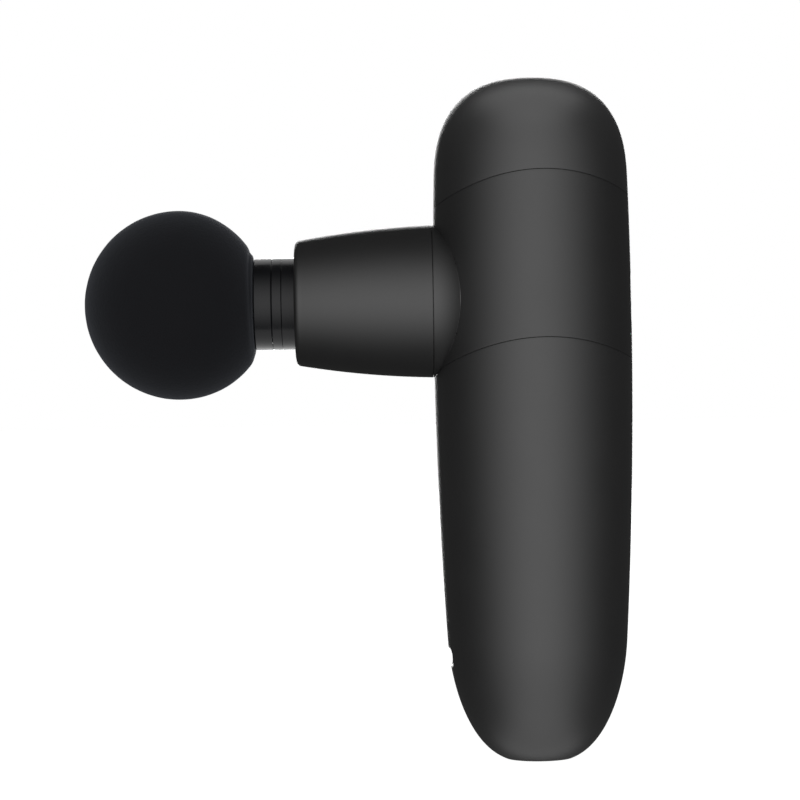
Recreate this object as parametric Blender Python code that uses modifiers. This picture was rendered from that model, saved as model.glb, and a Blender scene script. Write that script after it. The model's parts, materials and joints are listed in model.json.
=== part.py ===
"""Compact T-shaped percussion massage gun, modelled as the pieces it comes apart into.

Metres, +Z up. The origin is the centre of the handle's foot, the handle stands along +Z and the
barrel points along -X. A battery in the grip feeds a brushless motor that stands above the barrel.
Its crank drives a rod and a piston along the barrel, and the massage head pulls out of the piston.
"""

import math

import bpy
import bmesh
from mathutils import Vector

# Overall form
BARREL_Z = 0.1016  # height of the barrel's axis above the foot
HEAD_ROOM = 0.049  # from the barrel's axis up to the crown
HANDLE_RADIUS = 0.022
BARREL_LENGTH = 0.0303  # from its root to the nose
BARREL_RADIUS = 0.0169  # at the root
BALL_RADIUS = 0.021

# Handle
HANDLE_TAPER = 0.44  # radius lost, in metres, per square metre of distance from the widest height
WIDEST_DROP = 0.0066  # the widest height, below the barrel's axis
DOME_DEPTH = 0.0226
FOOT_DEPTH = 0.026
FOOT_SQUASH = 1.038  # how far past the foot its round would close, as a share of FOOT_DEPTH
HOUSING_WALL = 0.0024
HANDLE_STEPS = 32
BARREL_STEPS = 28

# Seams between the housing's shells: arches that tilt down towards the barrel
UPPER_SEAM_RISE = 0.0273
LOWER_SEAM_DROP = 0.0088
SEAM_TILT = 0.047
SEAM_ARCH_RADIUS = 2 * HANDLE_RADIUS
SEAM_GAP = 0.0003
LAP_SKIN = 0.0012  # outer part of the wall that covers the next shell's tongue
LAP_HEIGHT = 0.003

# Running and fitting clearances
CLEARANCE = 0.0003

# Barrel
ROOT_LEDGE = 0.0002  # how far the barrel's root stands in front of the handle's widest surface
BARREL_TAPER = 0.026
BARREL_BULGE = 2.56
NOSE_ROUND = 0.0013
SPIGOT_LENGTH = 0.0047
SPIGOT_WALL = 0.0017
COLLAR_WALL = 0.002
NOSE_RING_LENGTH = 0.002

# Slider-crank drive
CRANK_RADIUS = 0.0035
ROD_LENGTH = 0.024
PISTON_RADIUS = 0.0102
PISTON_STICK_OUT = 0.005  # past the nose at rest, its end ring included
PISTON_CUP_DEPTH = 0.011
PISTON_TAIL = 0.0055  # behind the wrist pin
SOCKET_RADIUS = 0.0061
SOCKET_DEPTH = 0.0165
END_RING_LENGTH = 0.0021
END_RING_WALL = 0.0017
GUIDE_WALL = 0.0015
PIN_RADIUS = 0.002
ROD_THICKNESS = 0.006
ROD_SMALL_END = 0.004
ROD_BIG_END = 0.0056
ROD_ARM_HALF_WIDTH = 0.003
ROD_BEARING_RADIUS = 0.004
CRANK_CLEAR = 0.0042  # from the barrel's axis to the crank wheel
CRANK_THICKNESS = 0.0034
COUNTERWEIGHT_RADIUS = 0.010
CRANK_HUB_RADIUS = 0.0065

# Motor and the frame that carries it
FRAME_CLEAR = 0.011  # from the barrel's axis to the frame plate
FRAME_THICKNESS = 0.0025
FRAME_FRONT = 0.0125
LEDGE_WIDTH = 0.0057
LEDGE_THICKNESS = 0.0024
FRAME_SCREW_ANGLES = (40, -40, 115, -115)
WIRE_HOLE_ANGLES = (62, 69, 76)
WIRE_HOLE_RADIUS = 0.0013
SHAFT_RADIUS = 0.0015
MOTOR_RADIUS = 0.015
MOTOR_HEIGHT = 0.014
BELL_WALL = 0.001
MAGNET_THICKNESS = 0.0014
STATOR_TEETH = 9
BELL_RISE = 0.0017  # from the base's flange to the bell's open end
MOTOR_SCREW_CIRCLE = 0.008
MOTOR_SCREW_ANGLES = (90, 270)
MOTOR_SCREW_RADIUS = 0.0009
BASE_FLANGE_RADIUS = 0.011
BASE_FLANGE_THICKNESS = 0.0015
BEARING_RADIUS = 0.0039
BEARING_HEIGHT = 0.003

# Massage head
HEAD_GAP = 0.0006
HEAD_COLLAR_LENGTH = 0.0034
BALL_REACH = 0.0378  # from the head's collar to the ball's front
CORE_RADIUS = 0.007
CORE_LENGTH = 0.0212
PLUG_RADIUS = 0.0058
RING_SECTION = 0.00075
RING_PLACES = (0.004, 0.0095)  # of the two O-rings, behind the head's collar

# Battery and boards
CELL_RADIUS = 0.0071
CELL_LENGTH = 0.048
CELL_GAP = 0.00052  # between one cell and the next
CELL_SPREAD = (2 * CELL_RADIUS + CELL_GAP) / math.sqrt(3)  # from the handle's axis to each cell's axis
CELL_ANGLES = (180, 60, -60)
CELL_BOTTOM = 0.028
CARRIER_DROP = BARREL_RADIUS + 0.0008  # from the barrel's axis to the carrier's top
CARRIER_PLATE = 0.002
SPINE_X = 0.0125
SPINE_DEPTH = 0.0027
SPINE_HALF_WIDTH = 0.004
CARRIER_POST_RADIUS = 0.003
CARRIER_SCREW_POST = 0.0024
CONTROL_BOARD_DROP = 0.0046  # from the carrier's top to the board's top
BOARD_THICKNESS = 0.0011
CONTROL_BOARD_HALF = 0.012
BOARD_SCREW_AT = (-0.008, 0.008)
BOARD_SCREW_RADIUS = 0.0007
CHARGE_BOARD_Z = 0.0197
CHARGE_BOARD_HALF = 0.0065
CHARGE_BOARD_LAP = 0.0024  # how far it reaches under the socket
CHARGE_BOARD_END = -0.0038
CHARGE_WIRE_AT = (-0.0075, 0.013)
BATTERY_WIRE_AT = (-0.0075, -0.013)
PORT_Z = 0.0227
PORT_WIDTH = 0.00894
PORT_HEIGHT = 0.00326
PORT_DEPTH = 0.0073
SOCKET_SET_BACK = 0.0012  # from the grip's surface to the socket's mouth

# Power button, lights and foot
BUTTON_RADIUS = 0.0055
BUTTON_TRAVEL = 0.0006
BUTTON_FLANGE = 0.0011
BUTTON_BOARD_DEPTH = 0.0055  # from the wall's inner face to the button's board
BUTTON_WIRE_IN = 0.002  # from the button's board to its wire's run down the handle
BUTTON_WIRE_Y = 0.0062
LIGHT_DROP = 0.008
LIGHT_RADIUS = 0.0006
LIGHT_PLACES = (-0.0045, -0.0015, 0.0015, 0.0045)
PAD_RADIUS = 0.006
PAD_THICKNESS = 0.0009
FOOT_BOSS_RADIUS = 0.0045
FOOT_BOSS_TOP = 0.0055
FOOT_SCREW_RADIUS = 0.00125
FOOT_HEAD_RADIUS = 0.0022
FOOT_SEAT_Z = 0.0029

# Fasteners
SMALL_SCREW_RADIUS = 0.001
SMALL_HEAD_RADIUS = 0.0019
SMALL_HEAD_HEIGHT = 0.0014
WIRE_RADIUS = 0.0006

# Places that follow from the sizes above
HANDLE_HEIGHT = BARREL_Z + HEAD_ROOM
WIDEST_Z = BARREL_Z - WIDEST_DROP
UPPER_SEAM_Z = BARREL_Z + UPPER_SEAM_RISE
LOWER_SEAM_Z = BARREL_Z - LOWER_SEAM_DROP
BARREL_ROOT = HANDLE_RADIUS + ROOT_LEDGE
NOSE = BARREL_ROOT + BARREL_LENGTH
COLLAR_BORE = BARREL_RADIUS - COLLAR_WALL
GUIDE_BORE = PISTON_RADIUS + CLEARANCE
GUIDE_RADIUS = GUIDE_BORE + GUIDE_WALL
WRIST = ROD_LENGTH - CRANK_RADIUS
PISTON_FRONT = NOSE + PISTON_STICK_OUT
FRAME_Z = BARREL_Z + FRAME_CLEAR
FRAME_TOP = FRAME_Z + FRAME_THICKNESS
BASE_Z = FRAME_TOP + CLEARANCE
BASE_TOP = BASE_Z + BASE_FLANGE_THICKNESS
MOTOR_Z = BASE_TOP + BELL_RISE
MOTOR_TOP = MOTOR_Z + MOTOR_HEIGHT
HEAD_BACK = PISTON_FRONT + HEAD_GAP
HEAD_FACE = HEAD_BACK + HEAD_COLLAR_LENGTH
BALL_FRONT = HEAD_FACE + BALL_REACH
CARRIER_TOP = BARREL_Z - CARRIER_DROP
BOARD_TOP = CARRIER_TOP - CONTROL_BOARD_DROP
CELL_TOP = CELL_BOTTOM + CELL_LENGTH

UPRIGHT = (0, 0, 0)
FORWARD = (0, -math.pi / 2, 0)  # turns a piece's own +Z to the barrel's direction, -X
REARWARD = (0, math.pi / 2, 0)
ON_BARREL = (0, 0, BARREL_Z)


# ---------------------------------------------------------------- scene and materials

for leftover in list(bpy.data.objects):
    bpy.data.objects.remove(leftover, do_unlink=True)

PARTS = bpy.data.collections.new("massage_gun")
CUTTERS = bpy.data.collections.new("massage_gun_cutters")
bpy.context.scene.collection.children.link(PARTS)
bpy.context.scene.collection.children.link(CUTTERS)


def finish(name, colour, roughness, metallic=0.0):
    """A Principled material."""
    made = bpy.data.materials.new(name)
    made.use_nodes = True
    shader = made.node_tree.nodes["Principled BSDF"]
    shader.inputs["Base Color"].default_value = (*colour, 1)
    shader.inputs["Roughness"].default_value = roughness
    shader.inputs["Metallic"].default_value = metallic
    return made


SOFT_BLACK = finish("soft_black", (0.032, 0.032, 0.033), 0.5)
GLOSS_BLACK = finish("gloss_black", (0.01, 0.01, 0.011), 0.14)
FOAM = finish("foam", (0.011, 0.011, 0.012), 0.95)
RUBBER = finish("rubber", (0.02, 0.02, 0.02), 0.8)
NYLON = finish("nylon", (0.55, 0.55, 0.52), 0.5)
CAST_ALLOY = finish("cast_alloy", (0.55, 0.56, 0.58), 0.45, 1.0)
STEEL = finish("steel", (0.6, 0.6, 0.61), 0.28, 1.0)
BRONZE = finish("bronze", (0.6, 0.42, 0.2), 0.4, 1.0)
LAMINATION = finish("lamination", (0.25, 0.25, 0.27), 0.45, 1.0)
COPPER = finish("copper", (0.72, 0.34, 0.16), 0.35, 1.0)
MAGNET = finish("magnet", (0.35, 0.35, 0.37), 0.3, 1.0)
CELL_WRAP = finish("cell_wrap", (0.03, 0.22, 0.38), 0.35)
CIRCUIT = finish("circuit", (0.01, 0.12, 0.05), 0.4)
CHIP = finish("chip", (0.02, 0.02, 0.02), 0.45)
LIGHT_PIPE = finish("light_pipe", (0.75, 0.77, 0.78), 0.25)
RED_WIRE = finish("red_wire", (0.45, 0.02, 0.02), 0.45)
YELLOW_WIRE = finish("yellow_wire", (0.6, 0.42, 0.03), 0.45)
BLUE_WIRE = finish("blue_wire", (0.02, 0.08, 0.4), 0.45)


# ---------------------------------------------------------------- modelling tools


def world_place(obj):
    """Where an object's origin lies: the empties above it are moved but not turned."""
    place = Vector(obj.location)
    return place + world_place(obj.parent) if obj.parent else place


def axis_empty(name, at, parent=None):
    """An empty on a joint's axis, which the moving pieces hang from."""
    empty = bpy.data.objects.new(name, None)
    empty.empty_display_size = 0.01
    PARTS.objects.link(empty)
    if parent:
        empty.parent = parent
        empty.location = Vector(at) - world_place(parent)
    else:
        empty.location = at
    return empty


def add(name, mesh, coat, parent, at, turn):
    """A named piece hung from its parent; a piece without a finish is a cutter."""
    piece = bpy.data.objects.new(name, mesh)
    if coat:
        mesh.materials.append(coat)
        PARTS.objects.link(piece)
    else:
        CUTTERS.objects.link(piece)
        piece.hide_render = True
        piece.display_type = "WIRE"
    if parent:
        piece.parent = parent
        at = Vector(at) - world_place(parent)
    piece.location = at
    piece.rotation_euler = turn
    return piece


def turned(name, profile, coat=None, parent=None, at=(0, 0, 0), turn=UPRIGHT, steps=20):
    """A solid of revolution. Its (radius, height) points run down the outer side and up the inner."""
    form = bmesh.new()
    corners = [form.verts.new((radius, 0, height)) for radius, height in profile]
    for start, end in zip(corners, corners[1:] + corners[:1]):
        if start.co.x > 0 or end.co.x > 0:
            form.edges.new((start, end))
    mesh = bpy.data.meshes.new(name)
    form.to_mesh(mesh)
    form.free()
    piece = add(name, mesh, coat, parent, at, turn)
    screw = piece.modifiers.new("turn", "SCREW")
    screw.steps = steps
    screw.render_steps = steps
    screw.use_merge_vertices = True
    screw.merge_threshold = 0.00001
    return piece


def rod(name, radius, low, high, coat=None, parent=None, at=(0, 0, 0), turn=UPRIGHT, steps=16):
    """A plain cylinder between two heights on its own axis."""
    profile = [(0, high), (radius, high), (radius, low), (0, low)]
    return turned(name, profile, coat, parent, at, turn, steps)


def barrel_rod(name, radius, low, high):
    """A cylinder along the barrel's axis, as finely faceted as the barrel."""
    return rod(name, radius, low, high, at=ON_BARREL, turn=FORWARD, steps=BARREL_STEPS)


def ring(name, inner, outer, low, high, coat=None, parent=None, at=(0, 0, 0), turn=UPRIGHT, steps=24):
    """A plain ring between two heights on its own axis."""
    profile = [(inner, high), (outer, high), (outer, low), (inner, low)]
    return turned(name, profile, coat, parent, at, turn, steps)


def box(name, low, high, coat=None, parent=None, bevel=0.0):
    """A block between two corners, given in the object's frame."""
    low = Vector(low)
    high = Vector(high)
    form = bmesh.new()
    bmesh.ops.create_cube(form, size=1)
    bmesh.ops.scale(form, vec=high - low, verts=form.verts)
    mesh = bpy.data.meshes.new(name)
    form.to_mesh(mesh)
    form.free()
    piece = add(name, mesh, coat, parent, (low + high) / 2, UPRIGHT)
    if bevel:
        rounding = piece.modifiers.new("rounding", "BEVEL")
        rounding.width = bevel
        rounding.segments = 2
    return piece


def arc(centre, radius, start, end, steps):
    """Points on an arc, from one angle to another, in degrees."""
    turns = [math.radians(start + (end - start) * i / steps) for i in range(steps + 1)]
    return [(centre[0] + radius * math.cos(a), centre[1] + radius * math.sin(a)) for a in turns]


def circle(centre, radius, steps=24):
    return arc(centre, radius, 0, 360, steps)[:-1]


def link_outline(first, first_radius, second, second_radius, steps=10):
    """The outline of a strap drawn tight round two circles."""
    reach = Vector(second) - Vector(first)
    heading = math.degrees(math.atan2(reach.y, reach.x))
    lean = math.degrees(math.acos((first_radius - second_radius) / reach.length))
    far = arc(second, second_radius, heading - lean, heading + lean, steps)
    near = arc(first, first_radius, heading + lean, heading + 360 - lean, steps)
    return far + near


def plate(name, outlines, low, high, coat=None, parent=None, at=(0, 0, 0), turn=UPRIGHT):
    """A flat piece between two heights. The first outline goes round it and the others are holes."""
    curve = bpy.data.curves.new(name, "CURVE")
    curve.dimensions = "2D"
    curve.fill_mode = "BOTH"
    curve.extrude = (high - low) / 2
    for outline in outlines:
        spline = curve.splines.new("POLY")
        spline.points.add(len(outline) - 1)
        for point, (x, y) in zip(spline.points, outline):
            point.co = (x, y, 0, 1)
        spline.use_cyclic_u = True
    drawn = bpy.data.objects.new(name, curve)
    CUTTERS.objects.link(drawn)
    mesh = bpy.data.meshes.new_from_object(drawn.evaluated_get(bpy.context.evaluated_depsgraph_get()))
    bpy.data.objects.remove(drawn)
    form = bmesh.new()
    form.from_mesh(mesh)
    bmesh.ops.remove_doubles(form, verts=form.verts, dist=0.000001)
    bmesh.ops.translate(form, vec=(0, 0, (low + high) / 2), verts=form.verts)
    form.to_mesh(mesh)
    form.free()
    mesh.name = name
    return add(name, mesh, coat, parent, at, turn)


def wire(name, route, coat, parent):
    """A wire on a smooth curve through its route's points."""
    ends = [route[0], *route, route[-1]]
    path = []
    for before, start, end, after in zip(ends, ends[1:], ends[2:], ends[3:]):
        start, end = Vector(start), Vector(end)
        out = (end - Vector(before)) / 2
        into = (Vector(after) - start) / 2
        for t in (0, 0.5):
            path.append(
                start * (2 * t**3 - 3 * t**2 + 1)
                + out * (t**3 - 2 * t**2 + t)
                + end * (3 * t**2 - 2 * t**3)
                + into * (t**3 - t**2)
            )
    path.append(Vector(route[-1]))
    curve = bpy.data.curves.new(name, "CURVE")
    curve.dimensions = "3D"
    curve.bevel_depth = WIRE_RADIUS
    curve.bevel_resolution = 2
    curve.use_fill_caps = True
    spline = curve.splines.new("POLY")
    spline.points.add(len(path) - 1)
    for point, place in zip(spline.points, path):
        point.co = (*place, 1)
    return add(name, curve, coat, parent, (0, 0, 0), UPRIGHT)


def change(piece, operation, others):
    for other in others:
        step = piece.modifiers.new(f"{operation.lower()} {other.name}", "BOOLEAN")
        step.operation = operation
        step.object = other
    return piece


def keep(piece, *others):
    return change(piece, "INTERSECT", others)


def cut(piece, *others):
    return change(piece, "DIFFERENCE", others)


def join(piece, *others):
    return change(piece, "UNION", others)


def many_cuts(piece):
    """Gives a piece whose holes share faces the solver that keeps it closed."""
    for step in piece.modifiers:
        if step.type == "BOOLEAN":
            step.solver = "MANIFOLD"


def screw(name, head_radius, head_height, radius, length, parent, at, pointing_up=False):
    """A button-head screw with its head's seat at the given place, pointing down unless told."""
    socket = head_radius * 0.45
    profile = [
        (0, head_height * 0.4),
        (socket, head_height * 0.4),
        (socket, head_height),
        (head_radius * 0.75, head_height),
        (head_radius, head_height * 0.45),
        (head_radius, 0),
        (radius, 0),
        (radius, -length),
        (0, -length),
    ]
    turn = (math.pi, 0, 0) if pointing_up else UPRIGHT
    return turned(name, profile, STEEL, parent, at, turn, steps=10)


# ---------------------------------------------------------------- the handle's outer form


def handle_radius(z):
    """Radius of the handle's outer surface: a slow barrel form with a domed crown and a round foot."""
    radius = HANDLE_RADIUS - HANDLE_TAPER * (z - WIDEST_Z) ** 2
    above = (z - HANDLE_HEIGHT + DOME_DEPTH) / DOME_DEPTH
    below = (FOOT_DEPTH - z) / (FOOT_DEPTH * FOOT_SQUASH)
    if above > 0:
        radius *= max(0, 1 - above**2.6) ** (1 / 2.7)
    if below > 0:
        radius *= (1 - below**2) ** (1 / 3)
    return radius


def handle_outline(inset=0.0):
    """The handle's profile from crown to foot, moved inwards by an inset."""
    steps = 7
    dome = [math.radians(90 - 90 * i / steps) for i in range(steps)]
    foot_end = math.degrees(math.asin(1 / FOOT_SQUASH))
    foot = [math.radians(foot_end * i / steps) for i in range(1, steps + 1)]
    dome_z = HANDLE_HEIGHT - DOME_DEPTH
    heights = [dome_z + DOME_DEPTH * math.sin(a) ** (2 / 2.6) for a in dome]
    heights += [dome_z + (FOOT_DEPTH - dome_z) * i / 4 for i in range(5)]
    heights += [FOOT_DEPTH * (1 - FOOT_SQUASH * math.sin(a)) for a in foot]
    heights[-1] = 0.0
    outer = [Vector((handle_radius(z), z)) for z in heights]
    outline = []
    for before, point, after in zip(outer[:1] + outer, outer, outer[1:] + outer[-1:]):
        along = (after - before).normalized()
        inward = Vector((along.y, -along.x)) * inset
        outline.append((max(0, point.x + inward.x), max(inset, point.y + inward.y)))
    outline[0] = (0, HANDLE_HEIGHT - inset)
    return outline + [(0, outline[-1][1])]


def handle_form(name, inset, coat=None, parent=None):
    """The handle's whole form as one solid, at an inset from the outer surface."""
    return turned(name, handle_outline(inset), coat, parent, steps=HANDLE_STEPS)


def inner_radius(z):
    return handle_radius(z) - HOUSING_WALL


def seam_rise(x):
    """Height of a seam above its middle, at a distance along X."""
    return SEAM_TILT * x - SEAM_ARCH_RADIUS + math.sqrt(SEAM_ARCH_RADIUS**2 - x**2)


def seam_band(name, low, high):
    """A block between two seam lines, cut straight through along Y. A missing line leaves it open."""
    reach = HANDLE_RADIUS + 0.004
    across = [-reach + 2 * reach * i / 20 for i in range(21)]
    floor = [(x, low + seam_rise(x)) for x in across] if low else [(-reach, -0.01), (reach, -0.01)]
    roof_z = HANDLE_HEIGHT + 0.01
    roof = [(x, high + seam_rise(x)) for x in across] if high else [(-reach, roof_z), (reach, roof_z)]
    return plate(name, [floor + roof[::-1]], -reach, reach, turn=(math.pi / 2, 0, 0))


SOLID_FORM = handle_form("inner_form", HOUSING_WALL)


def lap_tongue(name, seam_z):
    """The thin inner wall that stands up inside the next shell."""
    tongue = handle_form(name, LAP_SKIN + CLEARANCE)
    keep(tongue, seam_band(f"{name}_band", seam_z - LAP_HEIGHT, seam_z + LAP_HEIGHT))
    cut(tongue, handle_form(f"{name}_inside", HOUSING_WALL + CLEARANCE))
    return tongue


def lap_recess(name, seam_z):
    """The room inside a shell's lower rim for the tongue below it."""
    recess = handle_form(name, LAP_SKIN)
    reach = LAP_HEIGHT + CLEARANCE
    return keep(recess, seam_band(f"{name}_band", seam_z - reach, seam_z + reach))


# ---------------------------------------------------------------- housing

housing = axis_empty("housing", (0, 0, 0))

FRAME_SCREW_CIRCLE = inner_radius(FRAME_Z) - 0.0033
WIRE_CIRCLE = inner_radius(FRAME_Z) - 0.0031
CARRIER_SCREW_Y = inner_radius(CARRIER_TOP) - 0.0035
BUTTON_INSIDE = math.sqrt(inner_radius(BARREL_Z) ** 2 - (BUTTON_RADIUS + BUTTON_FLANGE) ** 2) - CLEARANCE
BUTTON_BOARD_X = BUTTON_INSIDE - BUTTON_BOARD_DEPTH
BUTTON_WIRE_AT = (BUTTON_BOARD_X + BUTTON_WIRE_IN, BUTTON_WIRE_Y)
SOCKET_FRONT = handle_radius(PORT_Z) - SOCKET_SET_BACK
CHARGE_BOARD_X = -(SOCKET_FRONT - PORT_DEPTH + CHARGE_BOARD_LAP)


def polar(radius, degrees, z=0.0):
    return (radius * math.cos(math.radians(degrees)), radius * math.sin(math.radians(degrees)), z)


def make_top_cap():
    cap = handle_form("top_cap", 0, SOFT_BLACK, housing)
    keep(cap, seam_band("cap_region", UPPER_SEAM_Z + SEAM_GAP / 2, None))
    cut(cap, SOLID_FORM, lap_recess("cap_recess", UPPER_SEAM_Z))


def make_upper_housing():
    shell = handle_form("upper_housing", 0, SOFT_BLACK, housing)
    low = LOWER_SEAM_Z + SEAM_GAP / 2
    keep(shell, seam_band("upper_region", low, UPPER_SEAM_Z - SEAM_GAP / 2))
    cut(shell, SOLID_FORM, lap_recess("upper_recess", LOWER_SEAM_Z))
    join(shell, lap_tongue("upper_tongue", UPPER_SEAM_Z))

    # the ring that the motor's frame is screwed to
    ledge_top = FRAME_Z - CLEARANCE
    outer = inner_radius(FRAME_Z) + HOUSING_WALL / 2
    inner = inner_radius(FRAME_Z) - LEDGE_WIDTH
    join(shell, ring("ledge", inner, outer, ledge_top - LEDGE_THICKNESS, ledge_top, steps=HANDLE_STEPS))

    # two posts for the battery carrier, each hung from the wall by a rib
    for side in (-1, 1):
        y = side * CARRIER_SCREW_Y
        low, high = CARRIER_TOP + CLEARANCE, BARREL_Z - 0.0016
        post = rod(f"carrier_post_{side}", CARRIER_SCREW_POST, low, high, at=(0, y, 0), steps=16)
        wall_y = side * (inner_radius(BARREL_Z) + HOUSING_WALL / 2)
        rib_low = (-0.0012, min(y, wall_y), high - 0.0027)
        rib_high = (0.0012, max(y, wall_y), high - 0.0002)
        join(shell, post, box(f"carrier_rib_{side}", rib_low, rib_high))
        pilot = SMALL_SCREW_RADIUS + CLEARANCE
        cut(shell, rod(f"carrier_pilot_{side}", pilot, low - 0.001, low + 0.009, at=(0, y, 0), steps=10))

    # two rails that the button's board slides between
    for side in (-1, 1):
        near, far = side * 0.0073, side * 0.0088
        low = (BUTTON_BOARD_X - 0.0008, min(near, far), BARREL_Z - 0.0068)
        high = (inner_radius(BARREL_Z), max(near, far), BARREL_Z + 0.0068)
        join(shell, box(f"board_rail_{side}", low, high))

    # the collar that the barrel plugs into
    collar_front = BARREL_ROOT - SEAM_GAP
    collar_back = HANDLE_RADIUS - 0.0085
    join(shell, barrel_rod("collar", BARREL_RADIUS, collar_back, collar_front))
    seat = barrel_rod("barrel_seat", BARREL_RADIUS + CLEARANCE, collar_front, NOSE)
    cut(shell, seat)
    bore_start = collar_back - 0.0035
    cut(shell, barrel_rod("collar_bore", COLLAR_BORE, bore_start, NOSE))

    for number, angle in enumerate(FRAME_SCREW_ANGLES, 1):
        at = polar(FRAME_SCREW_CIRCLE, angle)
        pilot = SMALL_SCREW_RADIUS + CLEARANCE
        cut(shell, rod(f"frame_pilot_{number}", pilot, FRAME_Z - 0.006, FRAME_Z + 0.001, at=at, steps=10))
    for number, angle in enumerate(WIRE_HOLE_ANGLES, 1):
        at = polar(WIRE_CIRCLE, angle)
        name = f"ledge_wire_hole_{number}"
        hole = rod(name, WIRE_HOLE_RADIUS, FRAME_Z - 0.006, FRAME_Z + 0.001, at=at, steps=10)
        cut(shell, hole)

    reach = HANDLE_RADIUS + 0.002
    hole = rod("button_hole", BUTTON_RADIUS + CLEARANCE, 0.015, reach, at=ON_BARREL, turn=REARWARD)
    cut(shell, hole)
    for number, y in enumerate(LIGHT_PLACES, 1):
        at = (0, y, BARREL_Z - LIGHT_DROP)
        radius = LIGHT_RADIUS + CLEARANCE
        cut(shell, rod(f"light_hole_{number}", radius, 0.015, reach, at=at, turn=REARWARD, steps=10))
    many_cuts(shell)


def port_outline(width, height):
    """A slot with round ends, its long side along Y once it is turned forward."""
    half = (width - height) / 2
    return link_outline((0, -half), height / 2, (0, half), height / 2, steps=8)


def make_grip_shell():
    grip = handle_form("grip_shell", 0, SOFT_BLACK, housing)
    keep(grip, seam_band("grip_region", None, LOWER_SEAM_Z - SEAM_GAP / 2))
    cut(grip, SOLID_FORM)
    join(grip, lap_tongue("grip_tongue", LOWER_SEAM_Z))

    # room for the barrel's root, which reaches below the seam
    root = BARREL_RADIUS + CLEARANCE
    cut(grip, rod("root_notch", root, 0.008, NOSE, at=ON_BARREL, turn=FORWARD, steps=BARREL_STEPS))

    # the boss for the foot screw, with its counterbore and the recess for the foot pad
    join(grip, rod("foot_boss", FOOT_BOSS_RADIUS, 0.001, FOOT_BOSS_TOP, steps=20))
    cut(grip, rod("pad_recess", PAD_RADIUS + CLEARANCE, -0.001, PAD_THICKNESS + CLEARANCE))
    cut(grip, rod("foot_counterbore", FOOT_HEAD_RADIUS + CLEARANCE, 0.0005, FOOT_SEAT_Z, steps=16))
    cut(grip, rod("foot_screw_hole", FOOT_SCREW_RADIUS + CLEARANCE, 0.0005, FOOT_BOSS_TOP + 0.001, steps=16))

    width, height = PORT_WIDTH + 2 * CLEARANCE, PORT_HEIGHT + 2 * CLEARANCE
    at = (0, 0, PORT_Z)
    cut(grip, plate("port_slot", [port_outline(width, height)], 0.012, 0.026, at=at, turn=FORWARD))
    many_cuts(grip)


def barrel_radius(forward):
    """Radius of the barrel's outer surface, at a distance in front of the handle's axis."""
    out = forward - BARREL_ROOT
    return BARREL_RADIUS - BARREL_TAPER * out - BARREL_BULGE * out**2


def make_barrel():
    shoulder = NOSE - NOSE_ROUND
    corner = (barrel_radius(shoulder) - NOSE_ROUND, shoulder)
    profile = [(GUIDE_RADIUS + CLEARANCE, NOSE)]
    profile += arc(corner, NOSE_ROUND, 90, 0, 4)
    steps = 4
    for step in range(1, steps + 1):
        forward = shoulder + (BARREL_ROOT - shoulder) * step / steps
        profile.append((barrel_radius(forward), forward))
    spigot = COLLAR_BORE - CLEARANCE
    profile += [
        (spigot, BARREL_ROOT),
        (spigot, BARREL_ROOT - SPIGOT_LENGTH),
        (spigot - SPIGOT_WALL, BARREL_ROOT - SPIGOT_LENGTH),
        (spigot - SPIGOT_WALL, BARREL_ROOT + 0.0043),
        (GUIDE_RADIUS + CLEARANCE, BARREL_ROOT + 0.0058),
    ]
    turned("barrel_sleeve", profile, SOFT_BLACK, housing, ON_BARREL, FORWARD, steps=BARREL_STEPS)

    guide_end = NOSE - NOSE_RING_LENGTH - CLEARANCE
    guide_start = BARREL_ROOT + 0.0063
    sizes = (GUIDE_BORE, GUIDE_RADIUS, guide_start, guide_end)
    ring("guide_sleeve", *sizes, BRONZE, housing, ON_BARREL, FORWARD)
    nose_start = NOSE - NOSE_RING_LENGTH
    ring("nose_ring", GUIDE_BORE, GUIDE_RADIUS, nose_start, NOSE, GLOSS_BLACK, housing, ON_BARREL, FORWARD)




def make_foot():
    profile = [
        (0, PAD_THICKNESS),
        (PAD_RADIUS, PAD_THICKNESS),
        (PAD_RADIUS, 0.0003),
        (PAD_RADIUS - 0.0003, 0),
        (0, 0),
    ]
    turned("foot_pad", profile, RUBBER, housing, steps=24)
    at = (0, 0, FOOT_SEAT_Z - 0.0002)
    screw("foot_screw", FOOT_HEAD_RADIUS, 0.0013, FOOT_SCREW_RADIUS, 0.0095, housing, at, True)


# ---------------------------------------------------------------- motor and frame



def make_drive_frame():
    radius = inner_radius(FRAME_TOP) - 0.0008
    front = math.degrees(math.acos(-FRAME_FRONT / radius))
    outline = arc((0, 0), radius, -front, front, 32)
    holes = [circle((0, 0), 0.0045)]
    for angle in FRAME_SCREW_ANGLES:
        holes.append(circle(polar(FRAME_SCREW_CIRCLE, angle)[:2], SMALL_SCREW_RADIUS + CLEARANCE, 12))
    for angle in MOTOR_SCREW_ANGLES:
        holes.append(circle(polar(MOTOR_SCREW_CIRCLE, angle)[:2], MOTOR_SCREW_RADIUS + CLEARANCE, 12))
    frame = plate("drive_frame", [outline, *holes], FRAME_Z, FRAME_TOP, CAST_ALLOY, housing)
    for number, angle in enumerate(WIRE_HOLE_ANGLES, 1):
        at = polar(WIRE_CIRCLE, angle)
        name = f"frame_wire_hole_{number}"
        hole = rod(name, WIRE_HOLE_RADIUS, FRAME_Z - 0.001, FRAME_TOP + 0.001, at=at, steps=10)
        cut(frame, hole)
    for number, angle in enumerate(FRAME_SCREW_ANGLES, 1):
        at = polar(FRAME_SCREW_CIRCLE, angle, FRAME_TOP + 0.0002)
        sizes = (SMALL_HEAD_RADIUS, SMALL_HEAD_HEIGHT, SMALL_SCREW_RADIUS, 0.0055)
        screw(f"frame_screw_{number}", *sizes, housing, at)


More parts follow.
